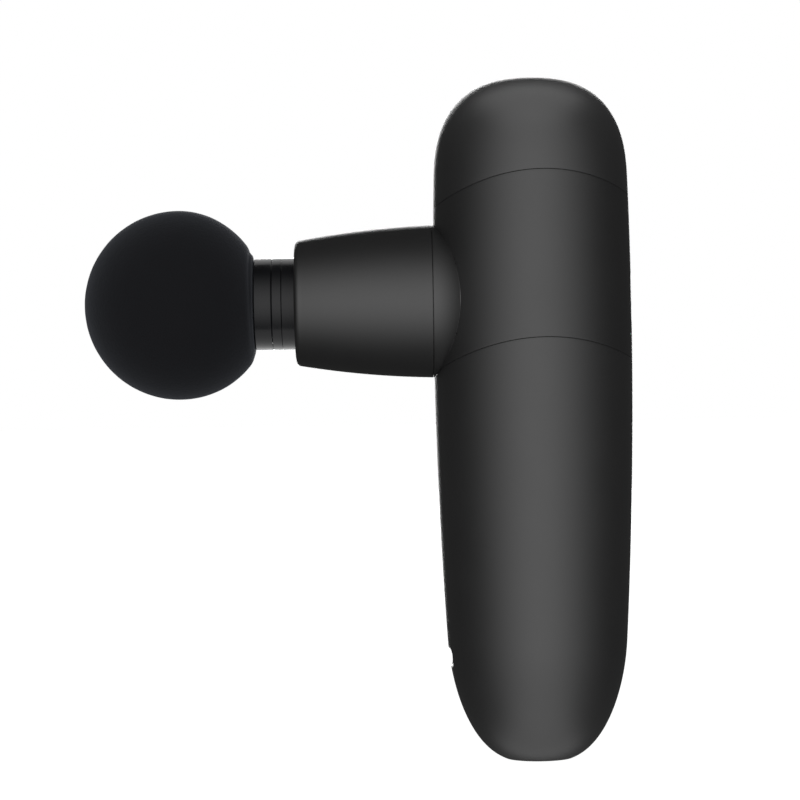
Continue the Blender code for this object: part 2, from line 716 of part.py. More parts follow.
def make_motor_base():
    """The motor's fixed half: flange, bearing tube, two bearings, core and windings."""
    bore = BEARING_RADIUS + CLEARANCE
    tube = bore + 0.0008
    tube_top = MOTOR_TOP - 0.0025
    shelf = SHAFT_RADIUS + 0.0012
    profile = [
        (bore, tube_top),
        (tube, tube_top),
        (tube, BASE_TOP),
        (BASE_FLANGE_RADIUS, BASE_TOP),
        (BASE_FLANGE_RADIUS, BASE_Z),
        (shelf, BASE_Z),
        (shelf, BASE_Z + 0.0008),
        (bore, BASE_Z + 0.0008),
    ]
    base = turned("motor_base", profile, CAST_ALLOY, housing)
    for number, angle in enumerate(MOTOR_SCREW_ANGLES, 1):
        at = polar(MOTOR_SCREW_CIRCLE, angle)
        pilot = MOTOR_SCREW_RADIUS + CLEARANCE
        cut(base, rod(f"motor_pilot_{number}", pilot, BASE_Z - 0.001, BASE_TOP + 0.001, at=at, steps=10))
        at = polar(MOTOR_SCREW_CIRCLE, angle, FRAME_Z - 0.0002)
        screw(f"motor_screw_{number}", 0.0017, 0.0012, MOTOR_SCREW_RADIUS, 0.0042, housing, at, True)

    low = BASE_Z + 0.0008 + CLEARANCE
    high = tube_top - BEARING_HEIGHT
    for name, bottom in (("lower_motor_bearing", low), ("upper_motor_bearing", high)):
        sizes = (SHAFT_RADIUS + CLEARANCE, BEARING_RADIUS, bottom, bottom + BEARING_HEIGHT)
        ring(name, *sizes, STEEL, housing)

    core_low, core_high = MOTOR_Z + 0.0018, tube_top - 0.0016
    core_radius = MOTOR_RADIUS - BELL_WALL - CLEARANCE - MAGNET_THICKNESS - 0.0005
    bore = tube + CLEARANCE
    outlines = [stator_outline(core_radius, 0), circle((0, 0), bore)]
    plate("stator_core", outlines, core_low, core_high, LAMINATION, housing)
    winding_radius = core_radius - 0.0017
    profile = [
        (bore + 0.0012, core_high + 0.0012),
        (winding_radius - 0.0008, core_high + 0.0012),
        (winding_radius, core_high + 0.0004),
        (winding_radius, core_low - 0.0004),
        (winding_radius - 0.0008, core_low - 0.0012),
        (bore + 0.0012, core_low - 0.0012),
    ]
    windings = turned("stator_windings", profile, COPPER, housing, steps=18)
    core_room = [stator_outline(core_radius, CLEARANCE)]
    cut(windings, plate("core_room", core_room, core_low - CLEARANCE, core_high + CLEARANCE))


def stator_outline(radius, grown):
    """A hub with evenly spaced teeth that end in wider shoes, grown on every side."""
    hub = 0.0073 + grown
    tooth = 0.0011 + grown
    shoe_start = radius - 0.0013 - grown
    shoe_half = math.pi / STATOR_TEETH - 0.0006 / radius
    outline = []
    for number in range(STATOR_TEETH):
        middle = 2 * math.pi * number / STATOR_TEETH
        root = math.asin(tooth / hub)
        neck = math.asin(tooth / shoe_start)
        tip = shoe_half + grown / radius * 0.5
        corners = [
            (hub, -root),
            (shoe_start, -neck),
            (shoe_start, -tip),
            (radius + grown, -tip),
            (radius + grown, 0),
            (radius + grown, tip),
            (shoe_start, tip),
            (shoe_start, neck),
            (hub, root),
        ]
        outline += [(r * math.cos(middle + a), r * math.sin(middle + a)) for r, a in corners]
    return outline


def make_rotor():
    """Everything that turns with the crank: bell, magnets, shaft, clip and crank wheel."""
    axis = axis_empty("crank_axis", ON_BARREL, housing)
    inner = MOTOR_RADIUS - BELL_WALL
    hub = SHAFT_RADIUS + CLEARANCE
    bell = [
        (hub, MOTOR_TOP + 0.0012),
        (0.0042, MOTOR_TOP + 0.0012),
        (0.0042, MOTOR_TOP),
        (MOTOR_RADIUS - 0.0012, MOTOR_TOP),
        (MOTOR_RADIUS, MOTOR_TOP - 0.0012),
        (MOTOR_RADIUS, MOTOR_Z),
        (inner, MOTOR_Z),
        (inner, MOTOR_TOP - 0.0012),
        (hub, MOTOR_TOP - 0.0012),
    ]
    rotor_bell = turned("rotor_bell", bell, STEEL, axis, steps=24)
    for number in range(6):
        at = polar(0.0093, 60 * number)
        hole = rod(f"bell_hole_{number + 1}", 0.0024, MOTOR_TOP - 0.003, MOTOR_TOP + 0.001, at=at, steps=8)
        cut(rotor_bell, hole)
    outer = inner - CLEARANCE
    low, high = MOTOR_Z + 0.0012, MOTOR_TOP - 0.003
    ring("magnet_ring", outer - MAGNET_THICKNESS, outer, low, high, MAGNET, axis)

    crank_low = BARREL_Z + CRANK_CLEAR
    crank_high = crank_low + CRANK_THICKNESS
    shaft_low = crank_low + 0.0012
    shaft_top = MOTOR_TOP + 0.0032
    rod("motor_shaft", SHAFT_RADIUS, shaft_low, shaft_top, STEEL, axis, steps=20)
    clip_low = MOTOR_TOP + 0.0015
    ring("shaft_clip", hub, 0.0031, clip_low, clip_low + 0.0006, STEEL, axis, steps=20)

    # the wheel carries its counterweight opposite the pin, and its pin on the under side
    outline = arc((0, 0), COUNTERWEIGHT_RADIUS, 90, 270, 16) + arc((0, 0), CRANK_HUB_RADIUS, -90, 90, 12)
    wheel = plate("crank_wheel", [outline], crank_low, crank_high, STEEL, axis)
    cut(wheel, rod("shaft_hole", hub, shaft_low - CLEARANCE, crank_high + 0.001, steps=20))
    pin_end = BARREL_Z + ROD_THICKNESS / 2 + CLEARANCE
    join(wheel, rod("crank_pin", PIN_RADIUS, pin_end, crank_low + 0.0006, at=(CRANK_RADIUS, 0, 0), steps=20))


# ---------------------------------------------------------------- rod, piston and head


def make_piston():
    axis = axis_empty("piston_axis", ON_BARREL, housing)
    tail = WRIST - PISTON_TAIL
    cup = PISTON_RADIUS - 0.0019
    ring_seat = PISTON_FRONT - CLEARANCE
    neck = PISTON_RADIUS - END_RING_WALL - CLEARANCE
    shoulder = PISTON_FRONT - END_RING_LENGTH - CLEARANCE
    profile = [
        (SOCKET_RADIUS, ring_seat),
        (neck, ring_seat),
        (neck, shoulder),
        (PISTON_RADIUS - 0.0002, shoulder),
        (PISTON_RADIUS, shoulder - 0.0002),
        (PISTON_RADIUS, tail + 0.0005),
        (PISTON_RADIUS - 0.0005, tail),
        (cup, tail),
        (cup, tail + PISTON_CUP_DEPTH),
        (0, tail + PISTON_CUP_DEPTH),
        (0, PISTON_FRONT - SOCKET_DEPTH),
        (SOCKET_RADIUS, PISTON_FRONT - SOCKET_DEPTH),
    ]
    piston = turned("piston", profile, GLOSS_BLACK, axis, ON_BARREL, FORWARD)
    wrist = (-WRIST, 0, BARREL_Z)
    pin_hole = rod("wrist_pin_hole", PIN_RADIUS + CLEARANCE, -0.012, 0.012, at=wrist, steps=20)
    cut(piston, pin_hole)
    reach = math.sqrt(PISTON_RADIUS**2 - PIN_RADIUS**2) - CLEARANCE
    rod("wrist_pin", PIN_RADIUS, -reach, reach, STEEL, axis, wrist, steps=20)
    profile = [
        (neck + CLEARANCE, PISTON_FRONT),
        (PISTON_RADIUS - 0.0002, PISTON_FRONT),
        (PISTON_RADIUS, PISTON_FRONT - 0.0002),
        (PISTON_RADIUS, PISTON_FRONT - END_RING_LENGTH + 0.0002),
        (PISTON_RADIUS - 0.0002, PISTON_FRONT - END_RING_LENGTH),
        (neck + CLEARANCE, PISTON_FRONT - END_RING_LENGTH),
    ]
    turned("socket_ring", profile, GLOSS_BLACK, axis, ON_BARREL, FORWARD)
    return axis


def make_connecting_rod(piston_axis):
    """The rod and its big-end bearing, hung from the wrist pin."""
    wrist = (-WRIST, 0, BARREL_Z)
    axis = axis_empty("rod_axis", wrist, piston_axis)
    big = (ROD_LENGTH, 0)
    half = ROD_THICKNESS / 2
    outline = link_outline((0, 0), ROD_ARM_HALF_WIDTH, big, ROD_ARM_HALF_WIDTH)
    connecting_rod = plate("connecting_rod", [outline], -half, half, NYLON, axis, wrist)
    for name, at, radius, bore in (
        ("small_end", (-WRIST, 0, BARREL_Z), ROD_SMALL_END, PIN_RADIUS + CLEARANCE),
        ("big_end", (CRANK_RADIUS, 0, BARREL_Z), ROD_BIG_END, ROD_BEARING_RADIUS + CLEARANCE),
    ):
        join(connecting_rod, rod(name, radius, -half - 0.0001, half + 0.0001, at=at, steps=24))
        cut(connecting_rod, rod(f"{name}_bore", bore, -0.01, 0.01, at=at, steps=24))
    many_cuts(connecting_rod)
    at = (CRANK_RADIUS, 0, BARREL_Z)
    half -= CLEARANCE
    ring("rod_bearing", PIN_RADIUS + CLEARANCE, ROD_BEARING_RADIUS, -half, half, STEEL, axis, at, steps=24)


def make_head(piston_axis):
    """The ball head: a stem with a plug and two O-rings behind its collar, and a core in the foam."""
    axis = axis_empty("head_axis", (-HEAD_BACK, 0, BARREL_Z), piston_axis)
    core_end = HEAD_FACE + CORE_LENGTH
    groove = PLUG_RADIUS - 2 * RING_SECTION - 0.0001
    half_groove = RING_SECTION + CLEARANCE
    plug_end = PISTON_FRONT - SOCKET_DEPTH + 0.0018
    profile = [
        (0, core_end),
        (CORE_RADIUS - 0.001, core_end),
        (CORE_RADIUS, core_end - 0.001),
        (CORE_RADIUS, HEAD_FACE - CLEARANCE),
        (PISTON_RADIUS - 0.0002, HEAD_FACE - CLEARANCE),
        (PISTON_RADIUS, HEAD_FACE - CLEARANCE - 0.0002),
        (PISTON_RADIUS, HEAD_BACK + 0.0002),
        (PISTON_RADIUS - 0.0002, HEAD_BACK),
        (PLUG_RADIUS, HEAD_BACK),
    ]
    for place in RING_PLACES:
        middle = HEAD_BACK - place
        profile += [
            (PLUG_RADIUS, middle + half_groove),
            (groove, middle + half_groove),
            (groove, middle - half_groove),
            (PLUG_RADIUS, middle - half_groove),
        ]
    profile += [(PLUG_RADIUS, plug_end + 0.0006), (PLUG_RADIUS - 0.0006, plug_end), (0, plug_end)]
    turned("head_stem", profile, GLOSS_BLACK, axis, ON_BARREL, FORWARD)

    for number, place in enumerate(RING_PLACES, 1):
        middle = (groove + CLEARANCE + RING_SECTION, HEAD_BACK - place)
        section = arc(middle, RING_SECTION, 0, -360, 6)[:-1]
        turned(f"head_o_ring_{number}", section, RUBBER, axis, ON_BARREL, FORWARD, steps=20)

    centre = BALL_FRONT - BALL_RADIUS
    flat_radius = math.sqrt(BALL_RADIUS**2 - (centre - HEAD_FACE) ** 2)
    opening = math.degrees(math.atan2(HEAD_FACE - centre, flat_radius))
    profile = arc((0, centre), BALL_RADIUS, 90, opening, 14)
    profile[0] = (0, BALL_FRONT)
    bore = CORE_RADIUS + CLEARANCE
    profile += [(bore, HEAD_FACE), (bore, core_end + CLEARANCE), (0, core_end + CLEARANCE)]
    turned("foam_ball", profile, FOAM, axis, ON_BARREL, FORWARD, steps=BARREL_STEPS)


# ---------------------------------------------------------------- battery and boards



def make_battery_carrier():
    plate_z = CELL_BOTTOM - 0.001
    top_radius = inner_radius(CARRIER_TOP) - 0.0012
    bottom_radius = inner_radius(CELL_BOTTOM) - 0.0024
    low = CARRIER_TOP - CARRIER_PLATE
    carrier = rod("battery_carrier", top_radius, low, CARRIER_TOP, NYLON, housing, steps=28)
    bottom = rod("carrier_bottom", bottom_radius, plate_z - CARRIER_PLATE, plate_z, steps=28)
    spine_low = (SPINE_X, -SPINE_HALF_WIDTH, plate_z - CARRIER_PLATE / 2)
    spine_high = (SPINE_X + SPINE_DEPTH, SPINE_HALF_WIDTH, CARRIER_TOP - CARRIER_PLATE / 2)
    spine = box("carrier_spine", spine_low, spine_high)
    post_low = FOOT_BOSS_TOP + CLEARANCE
    post = rod("carrier_post", CARRIER_POST_RADIUS, post_low, plate_z - CARRIER_PLATE / 2, steps=20)
    board_low = CHARGE_BOARD_Z - CLEARANCE
    corner = (CHARGE_BOARD_X, -0.002, board_low - 0.0014)
    shelf = box("charge_board_shelf", corner, (-0.001, 0.002, board_low))
    join(carrier, bottom, spine, post, shelf)

    pilot = FOOT_SCREW_RADIUS + CLEARANCE
    cut(carrier, rod("foot_pilot", pilot, 0.001, FOOT_SEAT_Z + 0.0105, steps=16))
    for side in (-1, 1):
        at = (BOARD_SCREW_AT[0], side * BOARD_SCREW_AT[1], 0)
        top = CARRIER_TOP - CARRIER_PLATE / 2
        stand_off = rod(f"stand_off_{side}", 0.0018, BOARD_TOP + CLEARANCE, top, at=at)
        join(carrier, stand_off)
        pilot = BOARD_SCREW_RADIUS + CLEARANCE
        hole = rod(f"board_pilot_{side}", pilot, BOARD_TOP - 0.001, CARRIER_TOP - 0.0012, at=at, steps=10)
        cut(carrier, hole)
        at = (0, side * CARRIER_SCREW_Y, 0)
        hole = SMALL_SCREW_RADIUS + CLEARANCE
        cut(carrier, rod(f"carrier_hole_{side}", hole, low - 0.001, CARRIER_TOP + 0.001, at=at, steps=10))
    routes = [polar(WIRE_CIRCLE, angle)[:2] for angle in WIRE_HOLE_ANGLES]
    routes += [CHARGE_WIRE_AT, BATTERY_WIRE_AT, BUTTON_WIRE_AT]
    for number, (x, y) in enumerate(routes, 1):
        name = f"carrier_wire_notch_{number}"
        notch = rod(name, WIRE_HOLE_RADIUS, CHARGE_BOARD_Z, CARRIER_TOP + 0.001, at=(x, y, 0), steps=10)
        cut(carrier, notch)
    many_cuts(carrier)
    for number, side in enumerate((-1, 1), 1):
        at = (0, side * CARRIER_SCREW_Y, low - 0.0002)
        sizes = (SMALL_HEAD_RADIUS, 0.0012, SMALL_SCREW_RADIUS, 0.0085)
        screw(f"carrier_screw_{number}", *sizes, housing, at, True)
        at = (BOARD_SCREW_AT[0], side * BOARD_SCREW_AT[1], BOARD_TOP - BOARD_THICKNESS - 0.0002)
        screw(f"board_screw_{number}", 0.0013, 0.0009, BOARD_SCREW_RADIUS, 0.004, housing, at, True)


def make_cells():
    for number, angle in enumerate(CELL_ANGLES, 1):
        profile = [
            (0, CELL_TOP + 0.0008),
            (0.0024, CELL_TOP + 0.0008),
            (0.0026, CELL_TOP),
            (CELL_RADIUS - 0.0006, CELL_TOP),
            (CELL_RADIUS, CELL_TOP - 0.0006),
            (CELL_RADIUS, CELL_BOTTOM + 0.0005),
            (CELL_RADIUS - 0.0005, CELL_BOTTOM),
            (0, CELL_BOTTOM),
        ]
        turned(f"battery_cell_{number}", profile, CELL_WRAP, housing, polar(CELL_SPREAD, angle))
    places = [polar(CELL_SPREAD, angle)[:2] for angle in CELL_ANGLES]
    for name, pair, low in (
        ("top_link_strip", (places[0], places[1]), CELL_TOP + 0.0011),
        ("bottom_link_strip", (places[0], places[2]), CELL_BOTTOM - 0.0007),
    ):
        outline = link_outline(pair[0], 0.003, pair[1], 0.003, steps=8)
        plate(name, [outline], low, low + 0.0004, STEEL, housing)


def make_boards():
    low = BOARD_TOP - BOARD_THICKNESS
    half = CONTROL_BOARD_HALF
    outline = [(-half, -half), (half, -half), (half, half), (-half, half)]
    hole = BOARD_SCREW_RADIUS + CLEARANCE
    holes = [circle((BOARD_SCREW_AT[0], side * BOARD_SCREW_AT[1]), hole, 12) for side in (-1, 1)]
    plate("control_board", [outline, *holes], low, BOARD_TOP, CIRCUIT, housing)
    on_board = BOARD_TOP + CLEARANCE
    box("motor_driver_chip", (-0.003, -0.0035, on_board), (0.004, 0.0035, on_board + 0.001), CHIP, housing)
    at = (0, -0.0085, on_board + 0.0009)
    rod("board_capacitor", 0.0009, 0.0035, 0.0095, LAMINATION, housing, at, REARWARD, steps=12)

    low = CHARGE_BOARD_Z
    corner = (CHARGE_BOARD_X, -CHARGE_BOARD_HALF, low)
    far_corner = (CHARGE_BOARD_END, CHARGE_BOARD_HALF, low + BOARD_THICKNESS)
    box("charge_board", corner, far_corner, CIRCUIT, housing)

    # the charging socket: a shell that opens forward, round a tongue
    front = SOCKET_FRONT
    back = front - PORT_DEPTH
    at = (0, 0, PORT_Z)
    outline = [port_outline(PORT_WIDTH, PORT_HEIGHT)]
    socket = plate("charging_socket", outline, back, front, STEEL, housing, at, FORWARD)
    inside = port_outline(PORT_WIDTH - 0.0007, PORT_HEIGHT - 0.0007)
    cut(socket, plate("socket_inside", [inside], back + 0.001, front + 0.001, at=at, turn=FORWARD))
    tongue_low = (-front + 0.0008, -0.0033, PORT_Z - 0.00035)
    tongue_high = (-back - 0.0005, 0.0033, PORT_Z + 0.00035)
    join(socket, box("socket_tongue", tongue_low, tongue_high))


# ---------------------------------------------------------------- power button and lights



def make_button():
    axis = axis_empty("button_axis", (HANDLE_RADIUS, 0, BARREL_Z), housing)
    face = HANDLE_RADIUS - 0.0001
    flange_back = BUTTON_INSIDE - BUTTON_FLANGE
    crown = 0.045  # radius of the button's slightly domed face
    rim = face - (crown - math.sqrt(crown**2 - (BUTTON_RADIUS - 0.0003) ** 2))
    profile = [(0, face)]
    for step in (1, 2, 3):
        radius = (BUTTON_RADIUS - 0.0003) * step / 3
        profile.append((radius, face - (crown - math.sqrt(crown**2 - radius**2))))
    profile += [
        (BUTTON_RADIUS, rim - 0.0003),
        (BUTTON_RADIUS, BUTTON_INSIDE),
        (BUTTON_RADIUS + BUTTON_FLANGE, BUTTON_INSIDE),
        (BUTTON_RADIUS + BUTTON_FLANGE, flange_back),
        (0.0015, flange_back),
        (0.0015, flange_back - 0.0004),
        (0, flange_back - 0.0004),
    ]
    turned("power_button", profile, SOFT_BLACK, axis, ON_BARREL, REARWARD)

    # the switch stays clear of the button's post even when the button is fully in
    plunger = flange_back - 0.0004 - BUTTON_TRAVEL - CLEARANCE
    board_low = (BUTTON_BOARD_X, -0.007, BARREL_Z - 0.0112)
    board_high = (BUTTON_BOARD_X + BOARD_THICKNESS, 0.007, BARREL_Z + 0.0066)
    box("button_board", board_low, board_high, CIRCUIT, housing)
    body_low = BUTTON_BOARD_X + BOARD_THICKNESS + CLEARANCE
    profile = [(0, plunger), (0.0016, plunger), (0.0016, body_low), (0, body_low)]
    switch = turned("button_switch", profile, CHIP, housing, ON_BARREL, REARWARD, steps=16)
    corner = (body_low, -0.003, BARREL_Z - 0.003)
    body = box("switch_body", corner, (plunger - 0.0005, 0.003, BARREL_Z + 0.003))
    join(switch, body)


def make_light_guide():
    """A clear bar with four pins that reach the outer surface as small round lights."""
    z = BARREL_Z - LIGHT_DROP
    bar_front = math.sqrt(inner_radius(BARREL_Z) ** 2 - 0.0055**2) - 0.0008
    low = (bar_front - 0.0014, -0.0055, z - 0.0007)
    high = (bar_front, 0.0055, z + 0.0007)
    bar = box("light_guide", low, high, LIGHT_PIPE, housing)
    for number, y in enumerate(LIGHT_PLACES, 1):
        surface = math.sqrt(handle_radius(z) ** 2 - y**2) - 0.0001
        start = bar_front - 0.0007
        pin = rod(f"light_pin_{number}", LIGHT_RADIUS, start, surface, at=(0, y, z), turn=REARWARD, steps=10)
        join(bar, pin)


# ---------------------------------------------------------------- wiring


def make_wires():
    board = BOARD_TOP + WIRE_RADIUS + CLEARANCE
    over_board = (CARRIER_TOP - CARRIER_PLATE + board) / 2
    coats = (RED_WIRE, YELLOW_WIRE, BLUE_WIRE)
    for number, (angle, coat) in enumerate(zip(WIRE_HOLE_ANGLES, coats), 1):
        route = [
            polar(BASE_FLANGE_RADIUS + 0.0007, angle, BASE_TOP + 0.0008),
            polar(BASE_FLANGE_RADIUS + 0.0025, angle, BASE_TOP + 0.0006),
            polar(WIRE_CIRCLE, angle, FRAME_TOP + 0.0004),
            polar(WIRE_CIRCLE, angle, FRAME_Z - 0.002),
            polar(WIRE_CIRCLE, angle, BARREL_Z - 0.006),
            polar(WIRE_CIRCLE, angle, CARRIER_TOP),
            polar(WIRE_CIRCLE, angle, CARRIER_TOP - CARRIER_PLATE - 0.0008),
            polar(0.0135, angle, over_board),
            polar(0.0113, angle, board),
        ]
        wire(f"motor_wire_{number}", route, coat, housing)

    x, y = CHARGE_WIRE_AT
    charge_top = CHARGE_BOARD_Z + BOARD_THICKNESS + WIRE_RADIUS + CLEARANCE
    route = [
        (-0.0065, 0.0056, charge_top + 0.0002),
        (-0.0072, 0.0095, charge_top + 0.0003),
        (x, y, charge_top + 0.0024),
        (x, y, CELL_BOTTOM),
        (x, y, (CELL_BOTTOM + CELL_TOP) / 2),
        (x, y, BOARD_TOP - 0.0005),
        (x + 0.0004, y - 0.0009, over_board),
        (x + 0.0015, y - 0.0025, board + 0.0001),
    ]
    wire("charge_wire", route, YELLOW_WIRE, housing)

    x, y = BATTERY_WIRE_AT
    route = [
        (-0.0043, -0.0075, CELL_BOTTOM - 0.0001),
        (-0.006, -0.0105, CELL_BOTTOM + 0.0002),
        (x, y, CELL_BOTTOM + 0.004),
        (x, y, (CELL_BOTTOM + CELL_TOP) / 2),
        (x, y, BOARD_TOP - 0.0005),
        (x + 0.0004, y + 0.0009, over_board),
        (x + 0.0015, y + 0.0025, board + 0.0001),
    ]
    wire("battery_wire", route, RED_WIRE, housing)

    x, y = BUTTON_WIRE_AT
    route = [
        (BUTTON_BOARD_X + BOARD_THICKNESS + 0.001, 0.0058, BARREL_Z - 0.0098),
        (x, y, BARREL_Z - 0.0125),
        (x, y, CARRIER_TOP - 0.001),
        (x - 0.0006, y, CARRIER_TOP - CARRIER_PLATE - 0.0009),
        (0.0125, 0.0062, over_board),
        (0.0098, 0.0062, board),
    ]
    wire("button_wire", route, BLUE_WIRE, housing)


make_top_cap()
make_upper_housing()
make_grip_shell()
make_barrel()
make_foot()
make_drive_frame()
make_motor_base()
make_rotor()
piston_axis = make_piston()
make_connecting_rod(piston_axis)
make_head(piston_axis)
make_battery_carrier()
make_cells()
make_boards()
make_button()
make_light_guide()
make_wires()
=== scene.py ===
"""Looks of the compact percussion massage gun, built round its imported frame.

Metres, +Z up, in the frame's own axes: the handle stands along +Z and the barrel points along -X.
The shells, the sliding parts and the head are remade with fine surfaces. The drive, the battery and
the boards keep their own solids and get their finishes here.
"""

import json
import math

import bmesh
import bpy
from mathutils import Matrix, Vector, noise


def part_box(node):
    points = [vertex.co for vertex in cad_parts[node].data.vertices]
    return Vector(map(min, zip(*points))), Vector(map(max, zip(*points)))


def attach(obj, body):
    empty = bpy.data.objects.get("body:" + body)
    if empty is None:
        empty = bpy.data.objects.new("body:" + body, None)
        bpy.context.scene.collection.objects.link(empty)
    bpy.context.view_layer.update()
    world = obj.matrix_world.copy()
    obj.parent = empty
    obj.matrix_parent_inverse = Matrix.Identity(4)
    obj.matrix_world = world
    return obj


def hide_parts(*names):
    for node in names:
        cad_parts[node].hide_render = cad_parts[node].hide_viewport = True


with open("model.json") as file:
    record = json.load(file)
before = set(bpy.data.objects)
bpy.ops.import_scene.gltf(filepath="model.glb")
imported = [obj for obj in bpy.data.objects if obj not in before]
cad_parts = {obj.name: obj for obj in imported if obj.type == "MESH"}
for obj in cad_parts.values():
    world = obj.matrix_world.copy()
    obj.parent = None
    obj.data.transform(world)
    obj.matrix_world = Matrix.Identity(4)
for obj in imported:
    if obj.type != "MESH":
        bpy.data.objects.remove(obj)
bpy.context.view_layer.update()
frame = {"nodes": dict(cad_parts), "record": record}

# ---------------------------------------------------------------- sizes

MM = 0.001

# Read from the frame
PISTON_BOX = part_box("piston")
RING_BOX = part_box("socket_ring")
BALL_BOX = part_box("foam_ball")
PAD_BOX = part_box("foot_pad")
SOCKET_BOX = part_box("charging_socket")
BARREL_Z = (PISTON_BOX[0].z + PISTON_BOX[1].z) / 2
PISTON_RADIUS = (PISTON_BOX[1].z - PISTON_BOX[0].z) / 2
PISTON_TAIL = -PISTON_BOX[1].x
PISTON_FRONT = -RING_BOX[0].x
END_RING_LENGTH = RING_BOX[1].x - RING_BOX[0].x
NOSE = -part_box("barrel_sleeve")[0].x
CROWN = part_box("top_cap")[1].z
BALL_FRONT = -BALL_BOX[0].x
BALL_BACK = -BALL_BOX[1].x
BALL_RADIUS = (BALL_BOX[1].z - BALL_BOX[0].z) / 2
PAD_RADIUS = PAD_BOX[1].x
PAD_TOP = PAD_BOX[1].z
PORT_Z = (SOCKET_BOX[0].z + SOCKET_BOX[1].z) / 2
SOCKET_FRONT = -SOCKET_BOX[0].x
SOCKET_BACK = -SOCKET_BOX[1].x
BUTTON_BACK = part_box("power_button")[0].x

# Handle
HANDLE_RADIUS = 22 * MM
WIDEST_Z = BARREL_Z - 6.6 * MM
TAPER = 0.44
DOME_DEPTH = 22.6 * MM
FOOT_DEPTH = 26 * MM
FOOT_SQUASH = 1.038
WALL = 2.4 * MM
EDGE_ROUND = 0.1 * MM
COLUMNS = 240

# Seams
UPPER_SEAM = BARREL_Z + 27.3 * MM
LOWER_SEAM = BARREL_Z - 8.8 * MM
SEAM_TILT = 0.047
SEAM_ARCH = 44 * MM
HALF_GAP = 0.025 * MM
LAP = 3 * MM
LAP_OUT = 1.2 * MM
LAP_IN = 1.5 * MM
TONGUE_IN = 2.7 * MM

# Barrel and collar
BARREL_RADIUS = 16.9 * MM
BARREL_ROOT = 22.2 * MM
BARREL_TAPER = 0.026
BARREL_BULGE = 2.56
NOSE_ROUND = 1.3 * MM
COLLAR_FRONT = 22.1 * MM
COLLAR_BACK = 13.5 * MM
COLLAR_BORE = 14.9 * MM
COLLAR_CURVE = 8.4 * MM
VALLEY_REACH = 0.02 * MM
SPIGOT_SIDE = 13.8 * MM
JOINT_RIM = 16.3 * MM
JOINT_LAP = 0.5 * MM
SPIGOT_LENGTH = 4.7 * MM
SPIGOT_WALL = 1.7 * MM
WIDE_BORE_END = 4.3 * MM
GUIDE_BORE_START = 5.8 * MM
GUIDE_RADIUS = 12 * MM
GUIDE_BORE = PISTON_RADIUS + 0.3 * MM
NOSE_RING_LENGTH = 2 * MM

# Foot
BOSS_RADIUS = 4.5 * MM
BOSS_ROOT = 2.6 * MM
BOSS_TOP = 5.5 * MM
SCREW_BORE = 1.55 * MM
SCREW_HEAD_BORE = 2.5 * MM
SCREW_SEAT = 2.9 * MM
PAD_RECESS_EASE = 0.15 * MM

# Piston
PISTON_NECK_STEP = 2 * MM
PISTON_CUP_WALL = 1.9 * MM
PISTON_CUP_DEPTH = 11 * MM

# Head
HEAD_BACK = PISTON_FRONT + 0.6 * MM
STEM_BACK = PISTON_FRONT + 0.06 * MM
SOCKET_RADIUS = 6.1 * MM
SOCKET_DEPTH = 16.5 * MM
PLUG_RADIUS = 5.8 * MM
PLUG_ROOM = 1.8 * MM
GROOVE_DEPTH = 1.6 * MM
CORE_RADIUS = 7 * MM
CORE_LENGTH = 21.2 * MM
O_RING_SECTION = 0.75 * MM
O_RING_PLACES = (4 * MM, 9.5 * MM)
BALL_EDGE = 1.6 * MM
BALL_SAG = 1.1 * MM
BALL_SAG_LEAN = 0.85
BALL_SAG_FADE = 2 * MM
BALL_SKIN = 0.02 * MM

# Button, lights and port
BUTTON_RADIUS = 5.5 * MM
BUTTON_SINK = 0.06 * MM
BUTTON_FLANGE = 1.1 * MM
LIGHT_Z = BARREL_Z - 8 * MM
LIGHT_PLACES = (-4.5 * MM, -1.5 * MM, 1.5 * MM, 4.5 * MM)
LIGHT_RADIUS = 0.6 * MM
LIGHT_DOME = 0.6 * MM
LIGHT_BAR_DEPTH = 1.4 * MM
SYMBOL_RADIUS = 1.75 * MM
SYMBOL_HALF_STROKE = 0.16 * MM
SYMBOL_GAP = 38
PORT_HALF_WIDTH = 4.77 * MM
PORT_HALF_HEIGHT = 1.93 * MM
RUNNING_GAP = 0.3 * MM

# Studio
FRONT_LIGHT_FROM = (0, -1, 0.02)
FRONT_LIGHT = 3.5
FRONT_LIGHT_FADE = 2.2
AMBIENT_LIGHT = 0.09
OBJECT_MIDDLE = (-25 * MM, 0, 85 * MM)
STEM_X = -57 * MM
END_BOXES = ((0.7, 4.2, "top_cap_shell"), (-0.55, 3.2, "grip_shell_body"))


# ---------------------------------------------------------------- materials


class Signal:
    """A shader socket that Python's operators work on: each operation adds a Math node."""

    def __init__(self, finish, socket):
        self.finish = finish
        self.socket = socket

    def __add__(self, other):
        return self.finish.math("ADD", self, other)

    def __rsub__(self, other):
        return self.finish.math("SUBTRACT", other, self)

    def __mul__(self, other):
        return self.finish.math("MULTIPLY", self, other)

    def __gt__(self, other):
        return self.finish.math("GREATER_THAN", self, other)

    __radd__ = __add__
    __rmul__ = __mul__


